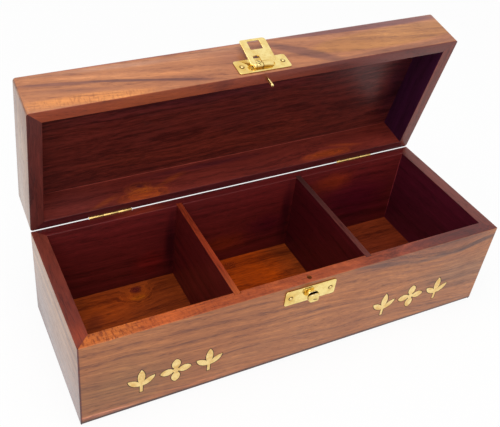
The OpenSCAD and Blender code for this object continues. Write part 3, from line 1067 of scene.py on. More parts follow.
outer = partial(on_face, -BOX.depth / 2)
inner = partial(on_face, BOX.depth / 2 - BOX.back)
base_rim = partial(on_level, BOX.base_height, 20.0, Way.UP)
lid_rim = partial(on_level, BOX.lid_z, 20.0, Way.DOWN)
on_floor = partial(on_level, BOX.floor, 12.0, None)
on_panel = partial(on_level, BOX.lid_z + BOX.lid_height - BOX.panel, 30.0, None)

ARRIS = Patch((-BOX.length / 2, -BOX.depth / 2, 33), (1.4, 1.4, 70), (0.3, 0.09, 0.18),
              core=0.5, ragged=0.1)
TAN = (0.37, 0.121, 0.031)
GOLDEN = (0.44, 0.16, 0.062)
RED = (0.16, 0.028, 0.017)
MAROON = (0.12, 0.01, 0.01)
PLUM = (0.1, 0.0125, 0.009)
RUSSET = (0.175, 0.0225, 0.015)
AMBER = (0.27, 0.045, 0.007)


@dataclass
class Case:
    """Boards, floor, dividers and lid panel."""

    left: float = -BOX.length / 2
    inner_right: float = BOX.length / 2 - BOX.side
    divider_x: float = (BOX.length - 2 * BOX.side + BOX.divider) / 6

    def finishes(self) -> dict[str, WoodFinish]:
        """Finish of each wooden node."""
        # The first patch paints a pale glare on the outward face of each left end board: a painted
        # reflection of the bright room.
        painted_glare = Patch((self.left, 10, 75), (40, 130, 100), (2.3, 6.0, 4.1), facing=Way.LEFT,
                       core=0.2, ragged=0.25)
        # Darkens the inner face of the right end board: painted shade of the inside of the box.
        inside = Patch((self.inner_right, 0, 35), (40, 90, 60), (0.5, 0.2, 0.9),
                       facing=Way.LEFT, **WHOLE)
        end = WoodFinish("Rosewood, end", RED, Way.LEFT, grain=Grain.ACROSS, coat=0.46,
                         coat_rough=0.12)
        right_end = replace(end, outward=Way.RIGHT)
        divider = WoodFinish("Rosewood, divider", MAROON, Way.UP, grain=Grain.ACROSS,
                             coat=0.05, gloss=0.2)
        at = self.divider_x
        return {
            "front_board": self._base_front(),
            "right_board": replace(right_end, name="Rosewood, base right end",
                                   heart=(-190.0, 10.0), patches=(inside,)),
            "back_board": self._base_back(),
            "left_board": replace(
                end, name="Rosewood, base left end", heart=(120.0, -20.0), shift=90.0,
                patches=(painted_glare, ARRIS,
                         Patch((self.left, 0, 5), (40, 130, 46), (0.9, 0.82, 0.72),
                               facing=Way.LEFT, core=0.2),
                         base_rim(-148, -44, 9, 16, (1.7, 1.5, 1.0)))),
            "floor_panel": self._floor(),
            "left_divider": replace(
                divider, name="Rosewood, left divider", heart=(40.0, 120.0), shift=1000.0,
                patches=(base_rim(-at, 0, 60, 120, (2.3, 3.6, 1.1), **WHOLE),
                         base_rim(-at, -50, 30, 36, (1.3, 2.0, 1.5), core=0.0))),
            "right_divider": replace(
                divider, name="Rosewood, right divider", heart=(-60.0, -80.0), shift=1300.0,
                patches=(Patch((at - BOX.divider / 2, 0, 35), (20, 120, 80), (0.66, 0.55, 0.9),
                               facing=Way.LEFT, **WHOLE),
                         base_rim(at, 0, 60, 120, (0.54, 1.95, 1.75), **WHOLE),
                         base_rim(at, -52, 60, 90, (2.1, 1.7, 1.4), core=0.0))),
            "lid_front_board": self._lid_front(),
            "lid_right_board": replace(
                right_end, name="Rosewood, lid right end", in_lid=True, heart=(-190.0, 60.0),
                shift=2000.0, patches=(
                    # The same painted shade, stronger, on the inner face of the lid's right end.
                    replace(inside, centre=(self.inner_right, 0, 85), tone=(0.27, 0.2, 1.7)),)),
            "lid_back_board": self._lid_back(),
            "lid_left_board": replace(
                end, name="Rosewood, lid left end", in_lid=True, heart=(120.0, 60.0),
                shift=2600.0, patches=(
                    replace(painted_glare, centre=(self.left, 0, 100), tone=(2.2, 6.0, 4.6)),
                    lid_rim(-148, 0, 40, 120, (0.7, 0.7, 0.9), **WHOLE))),
            "lid_panel": WoodFinish(
                "Rosewood, lid panel", PLUM, Way.UP, in_lid=True, grain=Grain.LYING,
                pitch=4.0, lean=-1.5, heart=(15.0, 130.0), shift=2900.0, gloss=0.3,
                inner_coat=0.1, coat_rough=0.22, figure=1.8, patches=(
                    on_panel(0, 32, 170, 22, (1.25, 1.2, 0.9)),
                    on_panel(-20, -26, 170, 20, (0.75, 0.8, 1.5)),
                    on_panel(140, 0, 22, 60, (0.45, 0.5, 1.2)))),
        }

    @staticmethod
    def _base_front() -> WoodFinish:
        """Tan board with a purple streak high on its right, a red, flecked rim and a painted
        contact shadow along its foot.
        """
        return WoodFinish(
            "Rosewood, base front", TAN, Way.FRONT, heart=(-30.0, -90.0), lean=-5.0, pitch=5.0,
            figure=0.95, pore=0.35, patches=(
                base_rim(0, -48, 600, 60, (0.72, 0.41, 0.7), **WHOLE),
                base_rim(-170, -48, 330, 60, (1.95, 2.1, 0.8), core=0.0, ragged=0.2, fleck=0.5),
                base_rim(-134, -48, 34, 60, (0.95, 1.15, 1.1), core=0.2, fleck=0.6),
                base_rim(165, -48, 130, 60, (0.4, 0.19, 0.25), core=0.2, ragged=0.3),
                base_rim(92, -47, 34, 3, (0.6, 0.45, 0.6), 4),
                outer(112, 72, 64, 46, (1, 1, 1), core=0.0, ragged=0.1, swirl=9.0),
                outer(96, 68, 82, 8.5, (0.66, 0.6, 0.8), core=0.4),
                outer(60, 65.6, 38, 2.8, (0.62, 0.66, 1.0), 11, core=0.45, ragged=0.2),
                outer(106, 58.8, 34, 2.9, (0.55, 0.58, 0.95), 1, core=0.4, ragged=0.2),
                outer(138, 61.8, 26, 3.0, (0.5, 0.52, 0.9), -13, core=0.4, ragged=0.2),
                outer(95, 52.5, 60, 2, (0.82, 0.82, 1.05), -1),
                outer(132, 34, 60, 24, (0.76, 0.88, 1.25)),
                outer(-125, 24, 66, 38, (0.76, 0.84, 0.86)),
                outer(40, 45, 70, 9, (1.12, 1.1, 1.0), 10, swirl=3.0),
                outer(-100, 5.4, 84, 1.9, (1.25, 1.2, 1.5), core=0.4),
                outer(-138, 4.9, 34, 2.6, (1.6, 1.8, 2.8), 5, core=0.5, ragged=0.25),
                # Painted contact shadow along the foot of the board.
                Patch((-60, -BOX.depth / 2, 0), (400, 40, 3.5), (0.17, 0.12, 0.34), core=0.68,
                      ragged=0.1),
                ARRIS,
            ))

    @staticmethod
    def _base_back() -> WoodFinish:
        """Maroon board with an amber cloud in two compartments, painted shadow beside the dividers
        and a red-brown rim.
        """
        return WoodFinish(
            "Rosewood, base back", MAROON, Way.BACK, gloss=0.25, heart=(20.0, 100.0),
            shift=400.0, patches=(
                inner(-13, 22, 30, 12, (1.8, 2.2, 0.7), swirl=5.0),
                inner(82, 58, 26, 12, (1.8, 2.2, 0.7), swirl=5.0),
                inner(105, 32, 50, 34, (0.72, 0.35, 1.2)),
                inner(143.2, 38, 0.5, 40, (3.0, 4.5, 5.0), core=0.6, ragged=0.1),
                base_rim(-75, 49, 26, 30, (1.7, 2.4, 1.2)),
                inner(-70, 22, 18, 16, (1.5, 1.0, 0.9)),
                # Painted shadow on the inner face beside each divider.
                inner(-54, 34, 7, 44, (0.4, 0.3, 0.6)),
                inner(42, 38, 7, 44, (0.4, 0.3, 0.6)),
                inner(25, 30, 24, 16, (0.7, 0.5, 1.1), swirl=6.0),
            ))

    @staticmethod
    def _lid_front() -> WoodFinish:
        """Golden board with dark streaks down its left and middle and a purple top edge."""
        return WoodFinish(
            "Rosewood, lid front", GOLDEN, Way.FRONT, in_lid=True, heart=(-20.0, 20.0),
            shift=1700.0, lean=-7.0, pitch=5.0, figure=0.65, pore=0.45, patches=(
                lid_rim(-60, -48, 300, 60, (0.62, 0.33, 0.36), **WHOLE),
                lid_rim(-30, -48, 10, 60, (0.7, 0.65, 0.8), 25),
                lid_rim(-70, -48, 60, 60, (1.15, 1.25, 0.9)),
                lid_rim(110, -48, 150, 60, (0.52, 0.4, 0.6), core=0.3),
                outer(-112, 75, 58, 6.5, (1.5, 1.5, 1.0), 4, core=0.3, fleck=0.4),
                outer(-50, 77.5, 34, 4, (0.8, 0.76, 0.82), 12),
                outer(-96, 92.8, 44, 4, (1.22, 1.28, 1.3), 5),
                outer(-62, 85.6, 22, 2.8, (1.22, 1.22, 1.1), 8),
                outer(-85, 99, 75, 3.4, (1.0, 1.2, 1.7), 2),
                outer(-20, 100, 34, 4, (1.15, 1.3, 1.5)),
                outer(-60, 103.2, 110, 1.6, (0.75, 0.55, 0.8), core=0.4),
                outer(-128, 91.6, 34, 2.0, (0.55, 0.52, 0.8), 8, core=0.4, ragged=0.2,
                      swirl=2.0),
                outer(-92, 86.2, 28, 1.7, (0.42, 0.4, 0.66), 11, core=0.45, ragged=0.2),
                outer(-58, 79.2, 34, 1.8, (0.5, 0.46, 0.7), 12, core=0.35, ragged=0.2,
                      swirl=2.0),
                outer(-120, 84, 40, 3.2, (0.72, 0.7, 0.85), 8),
                outer(-5, 88, 42, 18, (0.76, 0.72, 0.86), 10),
                outer(36, 84.5, 34, 6.0, (0.52, 0.48, 0.68), 31, core=0.45, ragged=0.15),
                outer(106, 87, 74, 11, (1.0, 1.06, 0.72), -1, core=0.75, ragged=0.1),
                outer(92, 101.4, 84, 4.6, (0.45, 0.36, 0.78), 1, core=0.6, ragged=0.14),
                outer(104, 73.2, 84, 3.6, (0.62, 0.58, 0.7), -1, core=0.4),
            ))

    @staticmethod
    def _lid_back() -> WoodFinish:
        """Russet board with two flames, a painted highlight along the seam on its inner face and
        painted shade on its rim.
        """
        return WoodFinish(
            "Rosewood, lid back", RUSSET, Way.BACK, in_lid=True, heart=(90.0, 60.0),
            shift=2300.0, gloss=0.25, patches=(
                inner(-120, 82, 40, 16, (1.05, 1.3, 1.5)),
                inner(-71, 74.5, 27, 9, (2.2, 2.8, 0.7), swirl=12.0, rings=0.4),
                inner(-73, 82, 15, 7, (1.5, 2.0, 0.8), swirl=8.0, rings=0.5),
                inner(-72, 83.5, 4.5, 2.4, (0.4, 0.3, 1.2)),
                inner(-48, 84, 20, 3, (1.5, 1.9, 0.8), -20),
                inner(-100, 76, 18, 3, (1.5, 1.9, 0.8), -22),
                inner(79, 76, 30, 5, (2.1, 2.6, 0.6), swirl=8.0, rings=0.4),
                inner(96, 81, 22, 2.4, (1.5, 1.7, 0.8), 12),
                inner(-20, 90, 70, 4, (0.7, 0.7, 1.2)),
                # Painted highlight along the seam under the panel.
                inner(0, 94.5, 170, 0.45, (2.2, 3.2, 3.4), core=0.6, ragged=0.15),
                # Painted shade on the rim.
                lid_rim(0, 49, 300, 30, (0.5, 0.45, 0.8), **WHOLE),
            ))

    @staticmethod
    def _floor() -> WoodFinish:
        """Amber floor with a knot in the left and the middle compartment."""
        return WoodFinish(
            "Rosewood, floor", AMBER, Way.DOWN, grain=Grain.LYING, heart=(-10.0, -70.0),
            pitch=7.0, shift=700.0, gloss=0.2, figure=1.15, inner_coat=0.02, patches=(
                on_floor(-5, 10, 50, 60, (1.65, 1.3, 0.35), core=0.5),
                on_floor(-83, 34, 18, 14, (1.3, 1.35, 0.9), swirl=7.0, rings=0.2),
                on_floor(-82.8, 39, 6.5, 4.4, (0.3, 0.16, 1.3), core=0.35, rings=0.3),
                on_floor(-83.4, 31, 9, 3.4, (1.3, 1.7, 0.8), swirl=3.0),
                on_floor(-110, 30, 36, 26, (1.4, 1.3, 0.9)),
                on_floor(-120, 20, 14, 9, (0.65, 0.6, 1.0), 30),
                on_floor(-6, 39, 6, 5, (0.4, 0.35, 1.0), swirl=4.0, rings=0.6),
                on_floor(120, 20, 60, 80, (0.8, 0.7, 1.2), core=0.6),
            ))

    def build(self) -> None:
        """Cuts the plain boards anew and dresses every piece of wood."""
        base = Carcass(BOX.base_height, 0.0, 0.7, BOX.floor)
        lid = Carcass(BOX.lid_z, BOX.lid_z + BOX.lid_height, 2.2, BOX.panel)
        made = {
            "right_board": (base, Way.RIGHT, Slot.END_WOOD),
            "back_board": (base, Way.BACK, Slot.BACK_WOOD),
            "left_board": (base, Way.LEFT, Slot.END_WOOD),
            "lid_front_board": (lid, Way.FRONT, Slot.FRONT_WOOD),
            "lid_right_board": (lid, Way.RIGHT, Slot.END_WOOD),
            "lid_back_board": (lid, Way.BACK, Slot.BACK_WOOD),
            "lid_left_board": (lid, Way.LEFT, Slot.END_WOOD),
        }
        for node, finish in self.finishes().items():
            if node not in made:
                dress(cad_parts[node], finish.build())
                LOG.info("dressed %s", node)
                continue
            carcass, side, slot = made[node]
            board = carcass.board("mitred_" + node, side)
            if side is Way.BACK:
                self._cut_scoops(board)
            if node == "back_board":
                self._cut_housings(board)
            if finish.in_lid:
                Bench.mount(board, BOX.opening)
            hand_over(Bench.smooth(board), Body.LID if finish.in_lid else Body.BASE,
                      finish.build(), node)

    @staticmethod
    def _cut_scoops(board: Piece) -> None:
        """Cuts the scoops that clear the hinge knuckles."""
        hinges = Hinges()
        for x in hinges.centres:
            Bench.combine(board, Bench.rod(
                "scoop", (x, BOX.hinge_axis.y, BOX.hinge_axis.z),
                hinges.roll_radius + hinges.scoop_play,
                hinges.length + hinges.scoop_past, Axis.X, ROUND_SIDES))

    def _cut_housings(self, board: Piece) -> None:
        """Cuts the grooves that house the dividers' ends."""
        wide, back = BOX.divider / 2 + 0.1, BOX.depth / 2 - BOX.back
        for x in (-self.divider_x, self.divider_x):
            Bench.combine(board, Bench.block("housing", (x - wide, back - 5, BOX.floor),
                                             (x + wide, back + BOX.housing, BOX.base_height + 1)))


@dataclass
class Inlay:
    """Brass motifs and their filler in the front board."""

    def build(self) -> None:
        """Dresses the inlay and its filler."""
        brass = BrassFinish("Inlay brass", (0.94, 0.7, 0.3), (0.74, 0.43, 0.12), rough=0.26,
                            clouding=0.75, outward=Way.FRONT).build()
        filler = FillerFinish().build()
        for side in ("left", "right"):
            dress(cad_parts[f"{side}_inlay"], brass)
            dress(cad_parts[f"{side}_inlay_filler"], filler)


# ---------------------------------------------------------------- brass


@dataclass
class Nail:
    """Round-headed brass nail, standing on its plate."""

    head_radius: float = 1.1
    head_height: float = 0.5
    shank_radius: float = 0.55
    shank: float = 6.4
    dome: float = 0.45

    def build(self, name: str) -> Piece:
        """Makes one nail whose head stands on the origin."""
        head = Bench.rod(name, (0, 0, self.head_height / 2), self.head_radius, self.head_height,
                         sides=32)
        Bench.round_edges(head, self.dome, 5, lambda a, b: min(a.z, b.z) > self.head_height - NEAR)
        shank = Bench.rod("nail_shank", (0, 0, -self.shank / 2), self.shank_radius,
                          self.shank + 0.2, sides=16)
        Bench.combine(head, shank, "UNION")
        return Bench.smooth(head)


@dataclass
class Latch:
    """Latch plates, hasp and turn button.

    Heights are on the shut box. plate and wing are a length, a height and a thickness,
    window a width and a height, and dish a narrow radius, a wide radius and a depth. root
    is where the hasp's rolled edge ends on each side of its middle, reach how far its
    window lies from its axis, and tilt the degrees by which it leans at rest.
    """

    x: float = 0.7
    catch_z: float = 61.55
    hasp_plate_z: float = 79.75
    axis_z: float = 77.6
    axis_out: float = 1.9
    tilt: float = 9.4
    plate: tuple[float, float, float] = (37.4, 12.5, 0.8)
    plate_corner: float = 1.6
    plate_rim: float = 0.28
    dish: tuple[float, float, float] = (1.2, 1.7, 0.7)
    nail_pitch: float = 29.4
    hasp_width: float = 18.6
    root: tuple[float, float] = (-7.8, 6.3)
    hasp_corner: float = 2.5
    hasp_foot: tuple[float, float] = (1.6, 2.4)
    hasp_edge: float = 0.2
    hasp_length: float = 21.45
    hasp_thick: float = 0.8
    reach: float = 16.05
    window: tuple[float, float] = (8.8, 7.2)
    window_corner: float = 0.6
    slot_x: float = -3.4
    slot_width: float = 4.6
    slot_depth: float = 7.5
    slot_corner: float = 1.2
    roll_radius: float = 1.6
    roll_end: float = 0.7
    knuckle_end: float = 0.3
    pin_radius: float = 0.5
    wire_past: float = 0.8
    play: float = 0.15
    knuckle_gap: float = 0.25
    tongue: float = 5.0
    tongue_corner: float = 2.4
    slot_play: float = 0.35
    wing: tuple[float, float, float] = (8.4, 6.2, 3.8)
    wing_strip: float = 1.2
    wing_corner: float = 2.7
    wing_z: float = 2.05
    stem_radius: float = 1.5
    neck_past: float = 0.4

    def build(self) -> None:
        """Makes and dresses every piece of the latch."""
        shine = BrassFinish("Latch brass, catch plate", (0.93, 0.74, 0.29), (0.72, 0.46, 0.12),
                            clouding=0.6, outward=Way.FRONT, tarnish_and_shade=self._nail_tarnish_and_reflection(self.catch_z))
        plate_tarnish_and_shade = self._nail_tarnish_and_reflection(self.hasp_plate_z) + self._knuckle_shade()
        # The nail heads' sides are painted dark: painted shade.
        nail = BrassFinish("Nail brass", (0.8, 0.6, 0.26), rough=0.22, outward=Way.FRONT,
                           sides=(0.16, 0.09, 0.03))
        catch, button, plate, hasp, nails, lid_nails = (finish.build() for finish in (
            shine,
            # The turn button's sides take a paler painted tone by facing.
            replace(shine, name="Latch brass, turn button", sides=(0.95, 0.8, 0.45),
                    tarnish_and_shade=self._loop_shade()),
            replace(shine, name="Latch brass, hasp plate", in_lid=True, tarnish_and_shade=plate_tarnish_and_shade),
            replace(shine, name="Latch brass, hasp", in_lid=True, outward=None,
                    colour=(0.95, 0.77, 0.33), tarnish_and_shade=self._slot_shade()),
            nail,
            replace(nail, name="Nail brass, lid", in_lid=True)))
        on_base = BOX.on_front(self.x, self.catch_z)
        on_lid = BOX.opening @ BOX.on_front(self.x, self.hasp_plate_z)
        swing = (BOX.opening @ BOX.on_front(self.x, self.axis_z)
                 @ Matrix.Translation((0, 0, self.axis_out)))
        hanging = swing @ Matrix.Rotation(math.radians(self.tilt - 180.0), 4, "X")
        for piece, move, body, slot, finish, node in (
                (self._catch_plate(), on_base, Body.BASE, Slot.LATCH, catch, "catch_plate"),
                (self._turn_button(), on_base, Body.BUTTON, Slot.LATCH, button, "turn_button"),
                (self._hasp_plate(), on_lid, Body.LID, Slot.LATCH, plate, "hasp_plate"),
                (self._nails("round_catch_plate_nails"), on_base, Body.BASE, Slot.FASTENER,
                 nails, "catch_plate_nails"),
                (self._nails("round_hasp_plate_nails"), on_lid, Body.LID, Slot.FASTENER,
                 lid_nails, "hasp_plate_nails"),
                (self._hasp(), hanging, Body.HASP, Slot.LATCH, hasp, "hasp"),
                (self._wire(), swing, Body.LID, Slot.PIN, nails, "hasp_pin")):
            hand_over(Bench.mount(piece, move), body, finish, node)

    def _nail_tarnish_and_reflection(self, height: float) -> tuple[Patch, ...]:
        """Dark rings round the two nails of a plate, and a painted darker reflection on its left
        end.
        """
        face = -BOX.depth / 2 - self.plate[2]
        rings = [Patch((self.x + side * self.nail_pitch / 2, face, height), (2.1, 2.1, 2.1),
                       (0.3, 0.2, 0.1), core=0.6, ragged=0.05) for side in (-1, 1)]
        # Painted darker reflection on the plate's left end.
        dull = Patch((self.x - self.plate[0] / 2 + 3, face, height), (7, 4, 9),
                     (0.86, 0.72, 0.5))
        return (*rings, dull)

    def _loop_shade(self) -> tuple[Patch, ...]:
        """Painted shade inside the turn button's loop and at its left fold, and a painted dark
        reflection across its front.
        """
        middle = -BOX.depth / 2 - self.wing_z - self.wing[2] / 2
        front = middle - self.wing[2] / 2
        inside = [Patch((self.x + x, middle, self.catch_z), (2.4, 1.0, 12), (0.06, 0.04, 0.02),
                        core=0.85, ragged=0.0) for x in (-2.0, 0.0, 2.0)]
        crease = Patch((self.x + 0.6, front, self.catch_z - 1.1), (2.6, 1.2, 0.6),
                       (0.14, 0.08, 0.03), (0, 14, 0), core=0.35, ragged=0.1)
        fold = Patch((self.x - 4.0, middle + 1.2, self.catch_z - 0.4), (0.9, 0.8, 2.2),
                     (0.2, 0.12, 0.05), core=0.35, ragged=0.1)
        return (*inside, crease, fold)

    def _knuckle_shade(self) -> tuple[Patch, ...]:
        """Painted shade lines across the plate's tongue and in the joints beside it."""
        out = -BOX.depth / 2 - self.axis_out - self.roll_radius
        return tuple(Patch((self.x + self.slot_x + x, out, self.axis_z + z), (2.6, 2.5, 0.55),
                           (0.12, 0.07, 0.03), (0, 50, 0), core=0.4, ragged=0.3)
                     for x, z in ((-0.9, 0.2), (0.2, 2.2)))

    def _slot_shade(self) -> tuple[Patch, ...]:
        """Painted shade on the edges of the hasp's slot, in the crease above its roll and under
        the roll.
        """
        out = -BOX.depth / 2 - self.axis_out
        centre = self.x + sum(self.root) / 2
        return (Patch((self.x + self.slot_x, out, self.axis_z), (3.0, 2.4, 7.8),
                      (0.5, 0.34, 0.14), core=0.75, ragged=0.1),
                Patch((centre, out - 0.6, self.axis_z + 2.2), (9, 1.6, 0.6), (0.6, 0.42, 0.2),
                      core=0.2),
                Patch((centre, out, self.axis_z - 1.5), (9, 1.8, 0.7), (0.5, 0.34, 0.14),
                      core=0.2))

    def _nails(self, name: str) -> Piece:
        """Makes the two nails of a plate."""
        first = Nail().build("nail_pattern")
        pair = [Bench.copy(first, "nail_copy", Matrix.Translation(
            (side * self.nail_pitch / 2, 0, self.plate[2]))) for side in (-1, 1)]
        Bench.discard(first)
        return Bench.join(name, pair)

    def _blank(self, name: str) -> Piece:
        """Makes a plate with round corners and a rolled rim, dished round its nails."""
        length, height, thick = self.plate
        blank = Bench.block(name, (-length / 2, -height / 2, 0), (length / 2, height / 2, thick))
        Bench.round_edges(blank, self.plate_corner, 6, upright)
        Bench.round_edges(blank, self.plate_rim, 3, lambda a, b: min(a.z, b.z) > thick - NEAR)
        narrow, wide, deep = self.dish
        for side in (-1, 1):
            Bench.combine(blank, Bench.rod("dish", (side * self.nail_pitch / 2, 0, thick),
                                           narrow, deep, tip=wide, sides=ROUND_SIDES))
        return blank

    def _catch_plate(self) -> Piece:
        """Makes the plate on the base."""
        return Bench.smooth(self._blank("polished_catch_plate"))

    def _hasp_plate(self) -> Piece:
        """Makes the plate on the lid, with the knuckle that the hasp's slot goes round."""
        plate = self._blank("polished_hasp_plate")
        axis_y = self.axis_z - self.hasp_plate_z
        sunk = self.axis_out - self.plate[2]
        half = math.sqrt(self.roll_radius ** 2 - sunk ** 2) + self.play
        knuckle = self.slot_width / 2 - self.knuckle_gap
        left, right = self.slot_x - knuckle, self.slot_x + knuckle
        ends = (self.root[0] - self.slot_play, self.root[1] + self.slot_play)
        for low, high in ((ends[0], left), (right, ends[1])):
            Bench.combine(plate, Bench.block("slot", (low, axis_y - half, -1),
                                             (high, axis_y + half, 2)))
        roll = Bench.rod("roll", (self.slot_x, axis_y, self.axis_out), self.roll_radius,
                         2 * knuckle, Axis.X, ROUND_SIDES)
        Bench.soften(roll, self.knuckle_end, 3, 50)
        Bench.bore(roll, (self.slot_x, axis_y, self.axis_out), self.pin_radius, 4 * knuckle)
        Bench.combine(plate, roll, "UNION")
        tongue = Bench.block("tongue", (left + 0.05, axis_y, 0.3),
                             (right - 0.05, axis_y + self.tongue, self.axis_out + 1.2))
        Bench.round_edges(tongue, self.tongue_corner, 8, lambda a, b: abs(a.x - b.x) > 1
                          and min(a.y, b.y) > axis_y + 1 and min(a.z, b.z) > 1)
        Bench.soften(tongue, self.knuckle_end, 3, 50)
        Bench.combine(plate, tongue, "UNION")
        Bench.soften(plate, 0.1, 2, 50)
        return Bench.smooth(plate)

    def _hasp(self) -> Piece:
        """Makes the hasp hanging from its axis at the origin."""
        wide, back = self.hasp_width / 2, self.plate[2] + self.play - self.axis_out
        hasp = Bench.block("polished_hasp", (-wide, -self.hasp_length, back),
                           (wide, 0, back + self.hasp_thick))
        flare = self.hasp_length - self.hasp_corner
        for x in self.root:
            Bench.saw(hasp, (x, 0, 0), (math.copysign(flare, x), wide - abs(x), 0))
        for side, radius in zip((-1, 1), self.hasp_foot):
            Bench.round_edges(hasp, radius, 8, lambda a, b: upright(a, b) and a.x * side > 0
                              and max(a.y, b.y) < 0.1 - self.hasp_length)
        window_x, window_y = self.window[0] / 2, self.window[1] / 2
        window = Bench.block("window", (-window_x, -self.reach - window_y, -3),
                             (window_x, -self.reach + window_y, 3))
        Bench.round_edges(window, self.window_corner, 3, upright)
        Bench.combine(hasp, window)
        Bench.soften(hasp, self.hasp_edge, 3, 50)
        left, right = self.root
        roll = Bench.rod("roll", ((left + right) / 2, 0, 0), self.roll_radius,
                         right - left + 0.02, Axis.X, 64)
        Bench.soften(roll, self.roll_end, 6, 50)
        Bench.combine(hasp, roll, "UNION")
        slot = Bench.block("slot", (self.slot_x - self.slot_width / 2, -self.slot_depth, -3),
                           (self.slot_x + self.slot_width / 2, 3, 3))
        Bench.round_edges(slot, self.slot_corner, 5,
                          lambda a, b: upright(a, b) and max(a.y, b.y) < 0)
        Bench.combine(hasp, slot)
        Bench.bore(hasp, (0, 0, 0), self.pin_radius + BORE_PLAY, 2 * self.hasp_width)
        return Bench.smooth(hasp, 40)

    def _wire(self) -> Piece:
        """Makes the wire that the hasp swings on."""
        low, high = self.root
        wire = Bench.rod("hasp_hinge_wire", ((low + high) / 2, 0, 0), self.pin_radius,
                         high - low + self.wire_past, Axis.X, WIRE_SIDES)
        Bench.soften(wire, 0.2, 3)
        return Bench.smooth(wire)

    def _turn_button(self) -> Piece:
        """Makes the button: a strip folded into a loop, riveted through the plate."""
        long, high, deep = self.wing
        middle = self.wing_z + deep / 2
        loop = Bench.block("folded_turn_button", (-long / 2, -high / 2, self.wing_z),
                           (long / 2, high / 2, self.wing_z + deep))
        Bench.round_edges(loop, deep / 2 - 0.02, 10, lambda a, b: abs(a.y - b.y) > 1)
        outline = Bench.block("outline", (-long / 2, -high / 2, 0),
                              (long / 2, high / 2, 2 * self.wing_z + deep))
        Bench.round_edges(outline, self.wing_corner, 8, upright)
        Bench.combine(loop, outline, "INTERSECT")
        Bench.soften(loop, 0.5, 4, 40)
        hollow_x, hollow_z = long / 2 - self.wing_strip, deep / 2 - self.wing_strip
        hollow = Bench.block("hollow", (-hollow_x, -high, middle - hollow_z),
                             (hollow_x, high, middle + hollow_z))
        Bench.round_edges(hollow, hollow_z - 0.02, 8, lambda a, b: abs(a.y - b.y) > 1)
        Bench.combine(loop, hollow)
        Bench.soften(loop, 0.15, 2, 50)
        neck = Bench.rod("neck", (0, 0, 1.9), self.stem_radius + self.neck_past, 2.0,
                         sides=ROUND_SIDES)
        Bench.soften(neck, 0.15, 2)
        Bench.combine(loop, neck, "UNION")
        stem = Bench.rod("stem", (0, 0, 0.2), self.stem_radius, 2.1, sides=32)
        return Bench.smooth(Bench.combine(loop, stem, "UNION"))


